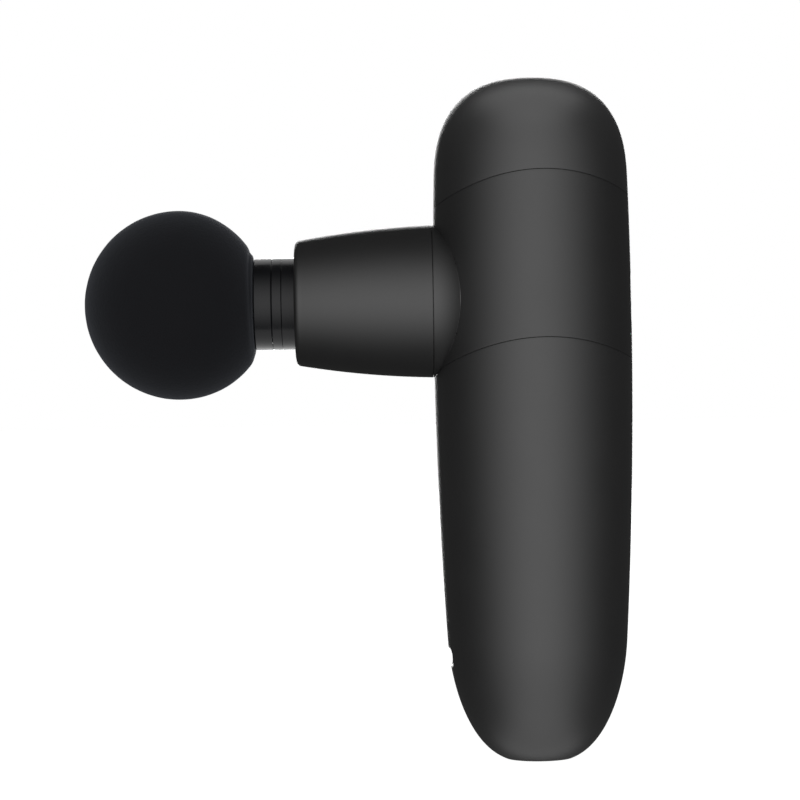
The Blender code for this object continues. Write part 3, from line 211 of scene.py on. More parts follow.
class Finish:
    """A procedural material: constants on its shader, and nodes for what varies over a surface."""

    def __init__(self, name, **constants):
        self.material = bpy.data.materials.new(name)
        self.material.use_nodes = True
        self.tree = self.material.node_tree
        self.shader = self.tree.nodes["Principled BSDF"]
        for socket, value in constants.items():
            self.set(socket.replace("_", " "), value)
        self.place = self.node("ShaderNodeTexCoord", output="Object")

    def put(self, socket, value):
        if isinstance(value, Signal):
            self.tree.links.new(value.socket, socket)
        elif socket.type == "RGBA":
            socket.default_value = (*value, 1)
        else:
            socket.default_value = value

    def set(self, socket, value):
        self.put(self.shader.inputs[socket], value)

    def node(self, kind, settings=None, values=None, output=0):
        """Adds a node: its settings first, then the values or links of its sockets."""
        made = self.tree.nodes.new(kind)
        for name, value in (settings or {}).items():
            if name == "stops":
                for stop, (place, colour) in zip(made.color_ramp.elements, value):
                    stop.position = place
                    stop.color = (*colour, 1)
            else:
                setattr(made, name, value)
        for name, value in (values or {}).items():
            self.put(made.inputs[name], value)
        return Signal(self, made.outputs[output])

    def math(self, operation, first, second):
        return self.node("ShaderNodeMath", {"operation": operation}, {0: first, 1: second})

    def noise(self, scale, detail=2.0, roughness=0.5, at=None):
        values = {"Vector": at or self.place, "Scale": scale, "Detail": detail, "Roughness": roughness}
        return self.node("ShaderNodeTexNoise", None, values, "Fac")

    def cells(self, scale, feature="F1", at=None):
        values = {"Vector": at or self.place, "Scale": scale}
        return self.node("ShaderNodeTexVoronoi", {"feature": feature}, values, "Distance")

    def stretched(self, scale, turn=(0, 0, 0), shift=(0, 0, 0)):
        values = {"Vector": self.place, "Scale": scale, "Rotation": turn, "Location": shift}
        return self.node("ShaderNodeMapping", None, values)

    def between(self, share, low, high):
        """A number that moves from low to high."""
        values = {"Value": share, "To Min": low, "To Max": high}
        return self.node("ShaderNodeMapRange", None, values)

    def blend(self, share, first, second):
        """A colour that moves from the first to the second."""
        return self.node("ShaderNodeMix", {"data_type": "RGBA"}, {0: share, 6: first, 7: second}, 2)

    def relief(self, height, depth, strength=1.0, over=None):
        """Small relief, in metres, over another relief if one is given."""
        values = {"Height": height, "Distance": depth, "Strength": strength}
        if over:
            values["Normal"] = over
        bump = self.node("ShaderNodeBump", None, values)
        self.set("Normal", bump)
        return bump


def soft_touch(name="soft_touch_black"):
    """Matt rubberised coat over moulded plastic: fine spark-eroded grain with faint cloudy handling."""
    coat = Finish(name, Specular_IOR_Level=0.5)
    grain = coat.noise(4200, 3, 0.6)
    cloud = coat.noise(95, 4, 0.55)
    speck = coat.cells(2600)
    shade = coat.blend(grain * 0.5 + cloud * 0.5, (0.0062, 0.0062, 0.0063), (0.0088, 0.0088, 0.0089))
    coat.set("Base Color", shade)
    coat.set("Roughness", coat.between(cloud * 0.6 + speck * 0.4, 0.4, 0.5))
    coat.relief(grain, 12e-6, 0.5)
    return coat.material


def polished_black():
    """Hard black plastic with a polished face, faint lathe lines and light wear."""
    coat = Finish("polished_black", Specular_IOR_Level=0.16)
    lines = coat.noise(900, 2, 0.5, coat.stretched((9, 1, 1)))
    smear = coat.noise(160, 3)
    coat.set("Base Color", coat.blend(smear, (0.003, 0.0031, 0.0036), (0.0045, 0.0047, 0.0055)))
    coat.set("Roughness", coat.between(lines * 0.6 + smear * 0.4, 0.12, 0.3))
    coat.relief(lines, 3e-6, 0.4)
    return coat.material


def foam_skin():
    """Closed-cell foam: a matt skin with fine pores and a faint mottle."""
    sheen = {"Sheen_Weight": 0.1, "Sheen_Roughness": 0.5, "Sheen_Tint": (0.75, 0.8, 0.9)}
    skin = Finish("foam_skin", Specular_IOR_Level=0.07, **sheen)
    pores = skin.cells(1500)
    mottle = skin.noise(240, 5, 0.65)
    fuzz = skin.noise(5200, 2)
    shade = skin.blend(mottle * 0.7 + fuzz * 0.3, (0.003, 0.003, 0.0037), (0.0052, 0.0053, 0.0062))
    skin.set("Base Color", shade)
    skin.set("Roughness", skin.between(mottle, 0.82, 0.96))
    low = skin.relief(mottle, 60e-6, 0.35)
    skin.relief(pores, 50e-6, 0.5, over=low)
    return skin.material


def black_rubber():
    """Moulded rubber with a dry, slightly dusty grain."""
    rubber = Finish("black_rubber", Specular_IOR_Level=0.35)
    grain = rubber.noise(2600, 3)
    dust = rubber.noise(380, 4, 0.6)
    rubber.set("Base Color", rubber.blend(dust, (0.014, 0.014, 0.014), (0.028, 0.027, 0.026)))
    rubber.set("Roughness", rubber.between(grain, 0.7, 0.9))
    rubber.relief(grain, 15e-6, 0.5)
    return rubber.material


def natural_nylon():
    """Natural moulded nylon: milky, with flow marks and a fine grain."""
    nylon = Finish("natural_nylon", Specular_IOR_Level=0.5, Subsurface_Weight=0.15, Subsurface_Scale=0.5 * MM)
    flow = nylon.noise(120, 4, 0.6, nylon.stretched((1, 1, 0.35)))
    grain = nylon.noise(3000, 2)
    nylon.set("Base Color", nylon.blend(flow, (0.5, 0.49, 0.44), (0.62, 0.61, 0.56)))
    nylon.set("Roughness", nylon.between(grain * 0.5 + flow * 0.5, 0.42, 0.58))
    nylon.relief(grain, 8e-6, 0.4)
    return nylon.material


def metal(name, dark, light, smooth, rough, stretch=(1, 1, 8), scale=700, depth=3e-6):
    """A metal with directional tool marks and a little tarnish."""
    surface = Finish(name, Metallic=1.0)
    marks = surface.noise(scale, 4, 0.6, surface.stretched(stretch))
    tarnish = surface.noise(130, 4, 0.6)
    surface.set("Base Color", surface.blend(tarnish * 0.7 + marks * 0.3, dark, light))
    surface.set("Roughness", surface.between(marks * 0.6 + tarnish * 0.4, smooth, rough))
    surface.relief(marks, depth, 0.6)
    return surface.material


def cast_alloy():
    """Die-cast alloy: a dull skin of fine grains with small pits."""
    surface = Finish("cast_alloy", Metallic=1.0)
    grain = surface.cells(1300)
    pits = surface.noise(900, 5, 0.7)
    surface.set("Base Color", surface.blend(pits, (0.42, 0.43, 0.45), (0.6, 0.61, 0.63)))
    surface.set("Roughness", surface.between(grain * 0.5 + pits * 0.5, 0.38, 0.6))
    surface.relief(grain + pits, 15e-6, 0.5)
    return surface.material


def sintered_bronze():
    """Porous, oil-filled bronze."""
    surface = Finish("sintered_bronze", Metallic=1.0)
    pores = surface.cells(2600)
    stain = surface.noise(260, 4, 0.6)
    surface.set("Base Color", surface.blend(stain * 0.6 + pores * 0.4, (0.38, 0.24, 0.1), (0.62, 0.43, 0.2)))
    surface.set("Roughness", surface.between(pores, 0.32, 0.55))
    surface.relief(pores, 12e-6, 0.6)
    return surface.material


def laminations():
    """Varnished steel sheets stacked along the motor's axis."""
    surface = Finish("laminations", Metallic=1.0)
    values = {"Vector": surface.place, "Scale": 640, "Distortion": 0.4, "Detail": 1}
    sheets = surface.node("ShaderNodeTexWave", {"bands_direction": "Z"}, values, "Fac")
    varnish = surface.noise(300, 3)
    shade = surface.blend(sheets * 0.6 + varnish * 0.4, (0.12, 0.12, 0.13), (0.32, 0.32, 0.34))
    surface.set("Base Color", shade)
    surface.set("Roughness", surface.between(varnish, 0.35, 0.55))
    surface.relief(sheets, 25e-6, 0.7)
    return surface.material


def enamelled_copper():
    """Wound wire: turns that lie side by side, each with its own shine."""
    surface = Finish("enamelled_copper", Metallic=1.0, Coat_Weight=0.5, Coat_Roughness=0.15)
    values = {"Vector": surface.place, "Scale": 900, "Distortion": 2.5, "Detail": 2}
    turns = surface.node("ShaderNodeTexWave", {"bands_direction": "Z"}, values, "Fac")
    burn = surface.noise(220, 3)
    surface.set("Base Color", surface.blend(turns * 0.5 + burn * 0.5, (0.5, 0.2, 0.08), (0.8, 0.4, 0.2)))
    surface.set("Roughness", surface.between(turns, 0.25, 0.42))
    surface.relief(turns, 60e-6, 0.8)
    return surface.material


def cell_wrap():
    """Heat-shrink film on a round cell: glossy, with fine lengthwise wrinkles."""
    film = Finish("cell_wrap", Specular_IOR_Level=0.5)
    wrinkle = film.noise(420, 3, 0.5, film.stretched((1, 1, 0.12)))
    tint = film.noise(90, 2)
    film.set("Base Color", film.blend(tint * 0.6 + wrinkle * 0.4, (0.018, 0.16, 0.3), (0.035, 0.25, 0.43)))
    film.set("Roughness", film.between(wrinkle, 0.24, 0.42))
    film.relief(wrinkle, 20e-6, 0.5)
    return film.material


def circuit_board():
    """Solder mask over copper tracks, with bare pads here and there."""
    board = Finish("circuit_board", Specular_IOR_Level=0.5, Coat_Weight=0.3, Coat_Roughness=0.2)
    values = {"Vector": board.place, "Scale": 420, "Mortar Size": 0.16, "Mortar Smooth": 0.1, "Bias": 0.0}
    tracks = board.node("ShaderNodeTexBrick", {"offset": 0.37, "squash": 1.6}, values, "Fac")
    pads = 1 - board.cells(520) > 0.82
    mask = board.noise(260, 3)
    green = board.blend(tracks, (0.006, 0.075, 0.028), (0.018, 0.17, 0.07))
    board.set("Base Color", board.blend(pads, green, (0.72, 0.6, 0.3)))
    board.set("Metallic", pads * 0.9)
    board.set("Roughness", board.between(mask, 0.3, 0.46))
    board.relief(tracks + pads, 25e-6, 0.6)
    return board.material


def moulded_chip():
    """Moulded black epoxy with a fine sandy face."""
    chip = Finish("moulded_chip", Specular_IOR_Level=0.4)
    sand = chip.noise(3800, 3)
    bloom = chip.noise(500, 2)
    chip.set("Base Color", chip.blend(sand * 0.5 + bloom * 0.5, (0.014, 0.014, 0.015), (0.03, 0.03, 0.031)))
    chip.set("Roughness", chip.between(sand, 0.42, 0.62))
    chip.relief(sand, 10e-6, 0.5)
    return chip.material


def milky_light_pipe():
    """Milky clear moulding that spreads light."""
    scatter = {"Subsurface_Weight": 0.4, "Subsurface_Scale": 1.2 * MM}
    pipe = Finish("milky_light_pipe", Transmission_Weight=0.25, IOR=1.49, **scatter)
    haze = pipe.noise(700, 3)
    pipe.set("Base Color", pipe.blend(haze, (0.66, 0.69, 0.7), (0.82, 0.84, 0.85)))
    pipe.set("Roughness", pipe.between(haze, 0.16, 0.32))
    pipe.relief(haze, 6e-6, 0.3)
    return pipe.material


def wire_jacket(name, dark, light):
    """Soft insulation with a slightly wavy skin and rubbed spots."""
    jacket = Finish(name, Specular_IOR_Level=0.5)
    rub = jacket.noise(650, 3)
    skin = jacket.noise(2400, 2)
    jacket.set("Base Color", jacket.blend(rub, dark, light))
    jacket.set("Roughness", jacket.between(rub * 0.5 + skin * 0.5, 0.34, 0.52))
    jacket.relief(skin, 10e-6, 0.5)
    return jacket.material


def printed_mark():
    """Pad-printed pale grey ink, a little worn."""
    ink = Finish("printed_mark", Specular_IOR_Level=0.4)
    wear = ink.noise(2200, 4, 0.65)
    ink.set("Base Color", ink.blend(wear, (0.34, 0.35, 0.36), (0.52, 0.53, 0.54)))
    ink.set("Roughness", ink.between(wear, 0.45, 0.65))
    ink.relief(wear, 6e-6, 0.4)
    return ink.material


FINISHES = {
    "soft_black": soft_touch(),
    "gloss_black": polished_black(),
    "foam_black": foam_skin(),
    "foot_rubber": black_rubber(),
    "nylon": natural_nylon(),
    "cast_alloy": cast_alloy(),
    "steel": metal("machined_steel", (0.42, 0.42, 0.43), (0.66, 0.66, 0.67), 0.18, 0.36),
    "bronze": sintered_bronze(),
    "lamination": laminations(),
    "copper": enamelled_copper(),
    "magnet": metal("nickel_plate", (0.42, 0.41, 0.38), (0.6, 0.59, 0.56), 0.12, 0.28, scale=400, depth=2e-6),
    "cell_wrap": cell_wrap(),
    "circuit": circuit_board(),
    "chip": moulded_chip(),
    "light_pipe": milky_light_pipe(),
    "red_wire": wire_jacket("red_jacket", (0.34, 0.012, 0.012), (0.5, 0.03, 0.025)),
    "yellow_wire": wire_jacket("yellow_jacket", (0.52, 0.34, 0.02), (0.68, 0.48, 0.05)),
    "blue_wire": wire_jacket("blue_jacket", (0.012, 0.055, 0.32), (0.03, 0.1, 0.46)),
}


# ---------------------------------------------------------------- the handle's form


def handle_radius(z):
    """Radius of the handle's outer surface: a slow barrel form with a domed crown and a round foot."""
    radius = HANDLE_RADIUS - TAPER * (z - WIDEST_Z) ** 2
    above = (z - CROWN + DOME_DEPTH) / DOME_DEPTH
    below = (FOOT_DEPTH - z) / (FOOT_DEPTH * FOOT_SQUASH)
    if above > 0:
        radius *= max(0, 1 - above**2.6) ** (1 / 2.7)
    if below > 0:
        radius *= max(0, 1 - below**2) ** (1 / 3)
    return radius


def wall_point(z, depth):
    """(radius, height) of a point on the handle's outer surface, moved inwards by a depth."""
    if z >= CROWN - 1e-7:
        return 0.0, CROWN - depth
    step = min(0.02 * MM, (CROWN - z) / 2)
    slope = (handle_radius(z + step) - handle_radius(max(z - step, 0))) / (z + step - max(z - step, 0))
    length = math.hypot(1, slope)
    return max(handle_radius(z) - depth / length, 0.0), z + depth * slope / length


def seam(middle, angle, side):
    """Height of a shell's edge beside a seam: an arch that tilts down towards the barrel."""
    x = HANDLE_RADIUS * math.cos(angle)
    return middle + SEAM_TILT * x - SEAM_ARCH + math.sqrt(SEAM_ARCH**2 - x**2) + side * HALF_GAP


def below_barrel(angle):
    """Height of the grip's edge where the barrel's root reaches over the seam, else far above."""
    y = HANDLE_RADIUS * math.sin(angle)
    reach = BARREL_RADIUS + 2 * HALF_GAP
    if math.cos(angle) > 0 or abs(y) > reach / 2:
        return CROWN
    return BARREL_Z - math.sqrt(reach**2 - y**2)


def foot_edge(angle):
    return FOOT_DEPTH


def crown_edge(angle):
    return CROWN


def cap_edge(angle):
    return seam(UPPER_SEAM, angle, 1)


def housing_top(angle):
    return seam(UPPER_SEAM, angle, -1)


def housing_bottom(angle):
    return seam(LOWER_SEAM, angle, 1)


def grip_top(angle):
    return min(seam(LOWER_SEAM, angle, -1), below_barrel(angle))


# ---------------------------------------------------------------- modelling tools


def wall_ring(low, high, share, offset=0.0, depth=0.0):
    """A ring on the handle's wall, at a share of the way between two edges."""

    def place(angle):
        start, end = low(angle), high(angle)
        return wall_point(start + (end - start) * share + offset, depth)

    return place


def plain_ring(radius, height):
    return lambda angle: (radius, height)


def height_ring(z, depth=0.0):
    """A level ring on the handle's wall."""
    return lambda angle: wall_point(z, depth)


def on_handle(radius, height, angle):
    return Vector((radius * math.cos(angle), radius * math.sin(angle), height))


def on_barrel(radius, forward, angle):
    return Vector((-forward, radius * math.cos(angle), BARREL_Z + radius * math.sin(angle)))


def on_back(radius, forward, angle):
    return Vector((forward, radius * math.cos(angle), BARREL_Z + radius * math.sin(angle)))


def spin_rings(form, rings, put, steps, closed=True):
    """Spins a column of points into bands of faces, then moves each ring to its radius and place."""
    column = [form.verts.new((1, 0, number)) for number in range(len(rings))]
    pairs = list(zip(column, column[1:] + column[:1]))
    links = [form.edges.new(pair) for pair in (pairs if closed else pairs[:-1])]
    before = set(form.verts) - set(column)
    bmesh.ops.spin(
        form,
        geom=column + links,
        cent=(0, 0, 0),
        axis=(0, 0, 1),
        dvec=(0, 0, 0),
        angle=2 * math.pi,
        space=Matrix(),
        steps=steps,
        use_merge=True,
        use_normal_flip=False,
        use_duplicate=False,
    )
    for vertex in [v for v in form.verts if v not in before]:
        angle = math.atan2(vertex.co.y, vertex.co.x)
        radius, height = rings[round(vertex.co.z)](angle)
        vertex.co = put(radius, height, angle)
    bmesh.ops.remove_doubles(form, verts=form.verts, dist=1e-6)


def arc(centre, radius, start, end, steps):
    """(radius, height) points on an arc, from one angle to another, in degrees."""
    turns = [math.radians(start + (end - start) * i / steps) for i in range(steps + 1)]
    return [(centre[0] + radius * math.cos(a), centre[1] + radius * math.sin(a)) for a in turns]


def softened(corners, rounds, steps=4):
    """An outline whose corners are rounded: each has its own radius, and 0 keeps it sharp."""
    points = []
    earlier, later = corners[-1:] + corners[:-1], corners[1:] + corners[:1]
    for before, corner, after, size in zip(earlier, corners, later, rounds):
        if not size:
            points.append(corner)
            continue
        here = Vector(corner)
        start = here + (Vector(before) - here).normalized() * size
        end = here + (Vector(after) - here).normalized() * size
        for step in range(steps + 1):
            t = step / steps
            points.append(tuple(start * (1 - t) ** 2 + here * 2 * t * (1 - t) + end * t**2))
    return points


def turned(points, put, steps=160):
    """A turned form: its (radius, height) outline is spun round an axis."""
    form = bmesh.new()
    closed = points[0][0] > 0 or points[-1][0] > 0
    spin_rings(form, [plain_ring(*point) for point in points], put, steps, closed)
    return form


POLISHED = bpy.data.collections.new("polished")


def in_scene(name, data):
    thing = bpy.data.objects.new(name, data)
    bpy.context.scene.collection.objects.link(thing)
    return thing


def named_piece(name, form, body, slot, replaced=(), finish=None, crease=38):
    """A finished piece that rides on a body, takes a slot's finish and stands for its plain nodes."""
    bmesh.ops.recalc_face_normals(form, faces=form.faces)
    mesh = bpy.data.meshes.new(name)
    form.to_mesh(mesh)
    form.free()
    mesh.shade_smooth()
    mesh.set_sharp_from_angle(angle=math.radians(crease))
    mesh.materials.append(finish or FINISHES[slot])
    piece = in_scene(name, mesh)
    if slot == "gloss_black":
        POLISHED.objects.link(piece)
    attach(piece, body)
    if replaced:
        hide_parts(*replaced)
    return piece


def lip(low, high, share, side):
    """A shell's rounded outer corner: side is 1 at its upper edge and -1 at its lower edge."""
    rings = []
    for step in range(5):
        turn = math.radians(90 * step / 4)
        offset = -side * EDGE_ROUND * (1 - math.sin(turn))
        rings.append(wall_ring(low, high, share, offset, EDGE_ROUND * (1 - math.cos(turn))))
    return rings


def tongue(low, high):
    """The thin wall that stands up from a shell's upper edge inside the next shell."""
    return [
        wall_ring(low, high, 1, 0, LAP_IN),
        wall_ring(low, high, 1, LAP, LAP_IN),
        wall_ring(low, high, 1, LAP, TONGUE_IN),
        wall_ring(low, high, 1, -LAP, TONGUE_IN),
        wall_ring(low, high, 1, -LAP, WALL),
    ]


def recess(low, high):
    """The room inside a shell's lower edge for the tongue below it."""
    reach = LAP + RUNNING_GAP
    return [
        wall_ring(low, high, 0, reach, WALL),
        wall_ring(low, high, 0, reach, LAP_OUT),
        wall_ring(low, high, 0, 0, LAP_OUT),
    ]


def run(low, high, rows, start, end, depth=0.0):
    """Rings between two edges, from an offset at the low one to an offset at the high one."""
    rings = []
    for row in range(1, rows):
        share = row / rows
        rings.append(wall_ring(low, high, share, start + (end - start) * share, depth))
    return rings


def rounded_box(size, middle, edge, segments):
    form = bmesh.new()
    bmesh.ops.create_cube(form, size=1)
    bmesh.ops.scale(form, vec=size, verts=form.verts)
    bmesh.ops.translate(form, vec=middle, verts=form.verts)
    rounding = {"offset": edge, "segments": segments, "profile": 0.5, "material": -1}
    bmesh.ops.bevel(form, geom=form.edges[:], affect="EDGES", **rounding)
    return form


def clear_window(form, inside):
    """Takes away the faces whose centre is inside, and returns the edges left open."""
    gone = [face for face in form.faces if inside(face.calc_center_median())]
    bmesh.ops.delete(form, geom=gone, context="FACES")
    return [edge for edge in form.edges if edge.is_boundary]


def wall_side(centre, depth):
    """Whether a point lies on the wall's outer face (depth 0) or on its inner face."""
    away = math.hypot(centre.x, centre.y) - (handle_radius(centre.z) - depth)
    return abs(away) < WALL / 4


def open_hole(form, side, outline, margin, segments, rounding):
    """A slot through both faces of the wall, along X, with a rounded outer edge.

    The wall's own faces are cleared to a margin round the slot, then joined to its edge.
    """
    loops = []
    for depth in (0, WALL):

        def inside(centre):
            if centre.x * side < 0 or not wall_side(centre, depth):
                return False
            return outline.covers(centre.y, centre.z, margin)

        open_edges = clear_window(form, inside)
        ring = bmesh.ops.create_circle(form, segments=segments, radius=1)["verts"]
        for vertex in ring:
            y, z = outline.point(math.atan2(vertex.co.y, vertex.co.x))
            vertex.co = (side * math.sqrt((handle_radius(z) - depth) ** 2 - y**2), y, z)
        ring_edges = list({edge for vertex in ring for edge in vertex.link_edges})
        bmesh.ops.bridge_loops(form, edges=open_edges + ring_edges)
        loops.append(ring_edges)
    bmesh.ops.bridge_loops(form, edges=loops[0] + loops[1])
    edge_loop = [edge for edge in loops[0] if edge.is_valid]
    bmesh.ops.bevel(
        form,
        geom=edge_loop,
        offset=rounding,
        offset_type="OFFSET",
        affect="EDGES",
        segments=3,
        profile=0.5,
        material=-1,
    )


class Slot:
    """A round-ended slot, or a round hole where its straight part has no length."""

    def __init__(self, z, radius, y=0.0, half_straight=0.0):
        self.z = z
        self.radius = radius
        self.y = y
        self.half = half_straight

    def point(self, angle):
        y = self.radius * math.cos(angle)
        end = self.half if y > 0 else -self.half
        return self.y + y + (end if abs(y) > 1e-9 else 0), self.z + self.radius * math.sin(angle)

    def covers(self, y, z, margin):
        past = max(abs(y - self.y) - self.half, 0)
        return math.hypot(past, z - self.z) < self.radius + margin


# ---------------------------------------------------------------- shells


def make_top_cap():
    dome = [math.radians(90 * i / 44) for i in range(45)]
    shares = [math.sin(turn) ** (2 / 2.6) for turn in dome]
    room = LAP + RUNNING_GAP
    rings = [wall_ring(cap_edge, crown_edge, share, room * (1 - share), WALL) for share in shares[::-1]]
    rings += recess(cap_edge, crown_edge)[1:]
    rings += lip(cap_edge, crown_edge, 0, -1)[::-1]
    rings += [wall_ring(cap_edge, crown_edge, share, EDGE_ROUND * (1 - share)) for share in shares[1:]]
    form = bmesh.new()
    spin_rings(form, rings, on_handle, COLUMNS, closed=False)
    named_piece("top_cap_shell", form, "housing", "soft_black", ["top_cap"])


def collar_radius(forward):
    """Radius of the collar's round shoulder behind the barrel."""
    return BARREL_RADIUS - (COLLAR_FRONT - forward) ** 2 / (2 * COLLAR_CURVE)


def handle_front(radius, angle):
    """How far forward the handle's surface lies, at a radius and angle round the barrel's axis."""
    y = radius * math.cos(angle)
    z = BARREL_Z + radius * math.sin(angle)
    return math.sqrt(handle_radius(z) ** 2 - y**2)


def valley(angle):
    """Where the collar's shoulder meets the handle: (forward, radius)."""
    forward = COLLAR_FRONT - EDGE_ROUND
    for _ in range(12):
        forward = min(handle_front(collar_radius(forward), angle), COLLAR_FRONT - EDGE_ROUND)
    return forward, collar_radius(forward)


def collar_rings():
    """Rings of the collar: its front, its round shoulder, a narrow valley at the handle, its bore."""

    def shoulder(share):
        def place(angle):
            forward, _ = valley(angle)
            start = COLLAR_FRONT - EDGE_ROUND
            at = start + (min(forward + VALLEY_REACH, start) - start) * share
            return collar_radius(at), at

        return place

    def hollow(share, sink=0.0, out=0.0):
        def place(angle):
            forward, radius = valley(angle)
            start_forward = min(forward + VALLEY_REACH, COLLAR_FRONT - EDGE_ROUND)
            start = Vector((collar_radius(start_forward), start_forward))
            end_radius = radius + VALLEY_REACH
            end = Vector((end_radius, min(handle_front(end_radius, angle), forward) - sink))
            middle = Vector((radius, forward))
            at = start * (1 - share) ** 2 + middle * 2 * share * (1 - share) + end * share**2
            return at.x - out, at.y

        return place

    mouth = COLLAR_FRONT - JOINT_LAP - 0.1 * MM
    rings = [plain_ring(COLLAR_BORE, mouth), plain_ring(JOINT_RIM + 0.1 * MM, mouth)]
    rings += [plain_ring(JOINT_RIM + 0.1 * MM, COLLAR_FRONT)]
    corner = (BARREL_RADIUS - EDGE_ROUND, COLLAR_FRONT - EDGE_ROUND)
    rings += [plain_ring(*point) for point in arc(corner, EDGE_ROUND, 90, 0, 4)[:-1]]
    rings += [shoulder(step / 10) for step in range(11)]
    rings += [hollow(step / 10, 0.01 * MM) for step in range(1, 11)]
    rings += [hollow(1, 0.6 * MM, 0.8 * MM)]
    rings += [plain_ring(BARREL_RADIUS - 0.5 * MM, COLLAR_BACK), plain_ring(COLLAR_BORE, COLLAR_BACK)]
    return rings


def make_upper_housing():
    """The middle shell with its collar, the button's hole and four small holes for the lights."""
    low, high = housing_bottom, housing_top
    rings = lip(low, high, 0, -1)[::-1]
    rings += run(low, high, 62, EDGE_ROUND, -EDGE_ROUND)
    rings += lip(low, high, 1, 1)
    rings += tongue(low, high)
    rings += run(low, high, 52, LAP + RUNNING_GAP, -LAP, WALL)[::-1]
    rings += recess(low, high)
    form = bmesh.new()
    spin_rings(form, rings, on_handle, COLUMNS)

    # the round opening inside the collar, which the collar's own ring covers
    def in_collar(centre):
        away = math.hypot(centre.y, centre.z - BARREL_Z)
        if centre.x > 0 or abs(centre.y) > SPIGOT_SIDE or away > BARREL_RADIUS - 1.2 * MM:
            return False
        above = centre.z - housing_bottom(math.atan2(centre.y, centre.x))
        return above > EDGE_ROUND and (wall_side(centre, 0) or wall_side(centre, WALL))

    bmesh.ops.bridge_loops(form, edges=clear_window(form, in_collar))
    for vertex in form.verts:
        away = math.hypot(vertex.co.y, vertex.co.z - BARREL_Z)
        if vertex.co.x < -COLLAR_FRONT and away < BARREL_RADIUS + RUNNING_GAP:
            vertex.co.x = -COLLAR_FRONT

    open_hole(form, 1, Slot(BARREL_Z, BUTTON_RADIUS + RUNNING_GAP), 0.6 * MM, 96, 0.2 * MM)
    for y in LIGHT_PLACES:
        open_hole(form, 1, Slot(LIGHT_Z, LIGHT_RADIUS + 0.15 * MM, y), 0.3 * MM, 24, 0.08 * MM)
    spin_rings(form, collar_rings(), on_barrel, 200)
    named_piece("upper_housing_shell", form, "housing", "soft_black", ["upper_housing"])


def make_grip_shell():
    """The deep grip with its foot, the screw's boss, the pad's recess and the port's slot."""
    low, high = foot_edge, grip_top
    foot_end = math.degrees(math.asin(1 / FOOT_SQUASH))
    turns = [math.radians(foot_end * (1 - i / 34)) for i in range(35)]
    heights = [max(FOOT_DEPTH * (1 - FOOT_SQUASH * math.sin(turn)), 0) for turn in turns]
    recess_radius, recess_top = PAD_RADIUS + RUNNING_GAP, PAD_TOP + RUNNING_GAP
    rings = [
        plain_ring(BOSS_RADIUS, BOSS_ROOT),
        plain_ring(BOSS_RADIUS, BOSS_TOP),
        plain_ring(SCREW_BORE, BOSS_TOP),
        plain_ring(SCREW_BORE, SCREW_SEAT),
        plain_ring(SCREW_HEAD_BORE, SCREW_SEAT),
        plain_ring(SCREW_HEAD_BORE, recess_top),
        plain_ring(recess_radius, recess_top),
        plain_ring(recess_radius, PAD_RECESS_EASE),
        plain_ring(recess_radius + PAD_RECESS_EASE, 0),
    ]
    rings += [height_ring(z) for z in heights]
    rings += run(low, high, 96, 0, -EDGE_ROUND)
    rings += lip(low, high, 1, 1)
    rings += tongue(low, high)
    rings += run(low, high, 80, 0, -LAP, WALL)[::-1]
    rings += [height_ring(z, WALL) for z in heights[::-1]]
    form = bmesh.new()
    spin_rings(form, rings, on_handle, COLUMNS)
    slot = Slot(PORT_Z, PORT_HALF_HEIGHT, 0, PORT_HALF_WIDTH - PORT_HALF_HEIGHT)
    open_hole(form, -1, slot, 0.45 * MM, 96, 0.3 * MM)
    named_piece("grip_shell_body", form, "housing", "soft_black", ["grip_shell"])


def barrel_radius(forward):
    out = forward - BARREL_ROOT
    return BARREL_RADIUS - BARREL_TAPER * out - BARREL_BULGE * out**2


def make_barrel():
    """The tapered barrel with its spigot, and the polished ring in its nose."""
    shoulder = NOSE - NOSE_ROUND
    corner = (barrel_radius(shoulder) - NOSE_ROUND, shoulder)
    points = [(GUIDE_RADIUS + RUNNING_GAP, NOSE - 0.15 * MM), (GUIDE_RADIUS + RUNNING_GAP + 0.15 * MM, NOSE)]
    points += arc(corner, NOSE_ROUND, 90, 0, 10)
    start = BARREL_ROOT + EDGE_ROUND
    for step in range(1, 41):
        forward = shoulder + (start - shoulder) * step / 40
        points.append((barrel_radius(forward), forward))
    points += arc((BARREL_RADIUS - EDGE_ROUND, start), EDGE_ROUND, 0, -90, 4)[1:]
    spigot = COLLAR_BORE - RUNNING_GAP
    spigot_back = BARREL_ROOT - SPIGOT_LENGTH
    points += [
        (JOINT_RIM, BARREL_ROOT),
        (JOINT_RIM, COLLAR_FRONT - JOINT_LAP),
        (spigot, COLLAR_FRONT - JOINT_LAP),
        (spigot, spigot_back),
        (spigot - SPIGOT_WALL, spigot_back),
        (spigot - SPIGOT_WALL, BARREL_ROOT + WIDE_BORE_END),
        (GUIDE_RADIUS + RUNNING_GAP, BARREL_ROOT + GUIDE_BORE_START),
    ]
    form = turned(points, on_barrel, 200)
    named_piece("barrel_sleeve_body", form, "housing", "soft_black", ["barrel_sleeve"])

    inner, outer = GUIDE_BORE, GUIDE_RADIUS
    back = NOSE - NOSE_RING_LENGTH
    corners = [(inner, NOSE), (outer, NOSE), (outer, back), (inner, back)]
    ring = softened(corners, (0.35 * MM, 0.15 * MM, 0, 0))
    named_piece("nose_ring_polished", turned(ring, on_barrel), "housing", "gloss_black", ["nose_ring"])


def make_foot_pad():
    corners = [(0, PAD_TOP), (PAD_RADIUS, PAD_TOP), (PAD_RADIUS, 0), (0, 0)]
    pad = turned(softened(corners, (0, 0, 0.35 * MM, 0)), on_handle, 96)
    named_piece("foot_pad_moulded", pad, "housing", "foot_rubber", ["foot_pad"])


# ---------------------------------------------------------------- piston and head


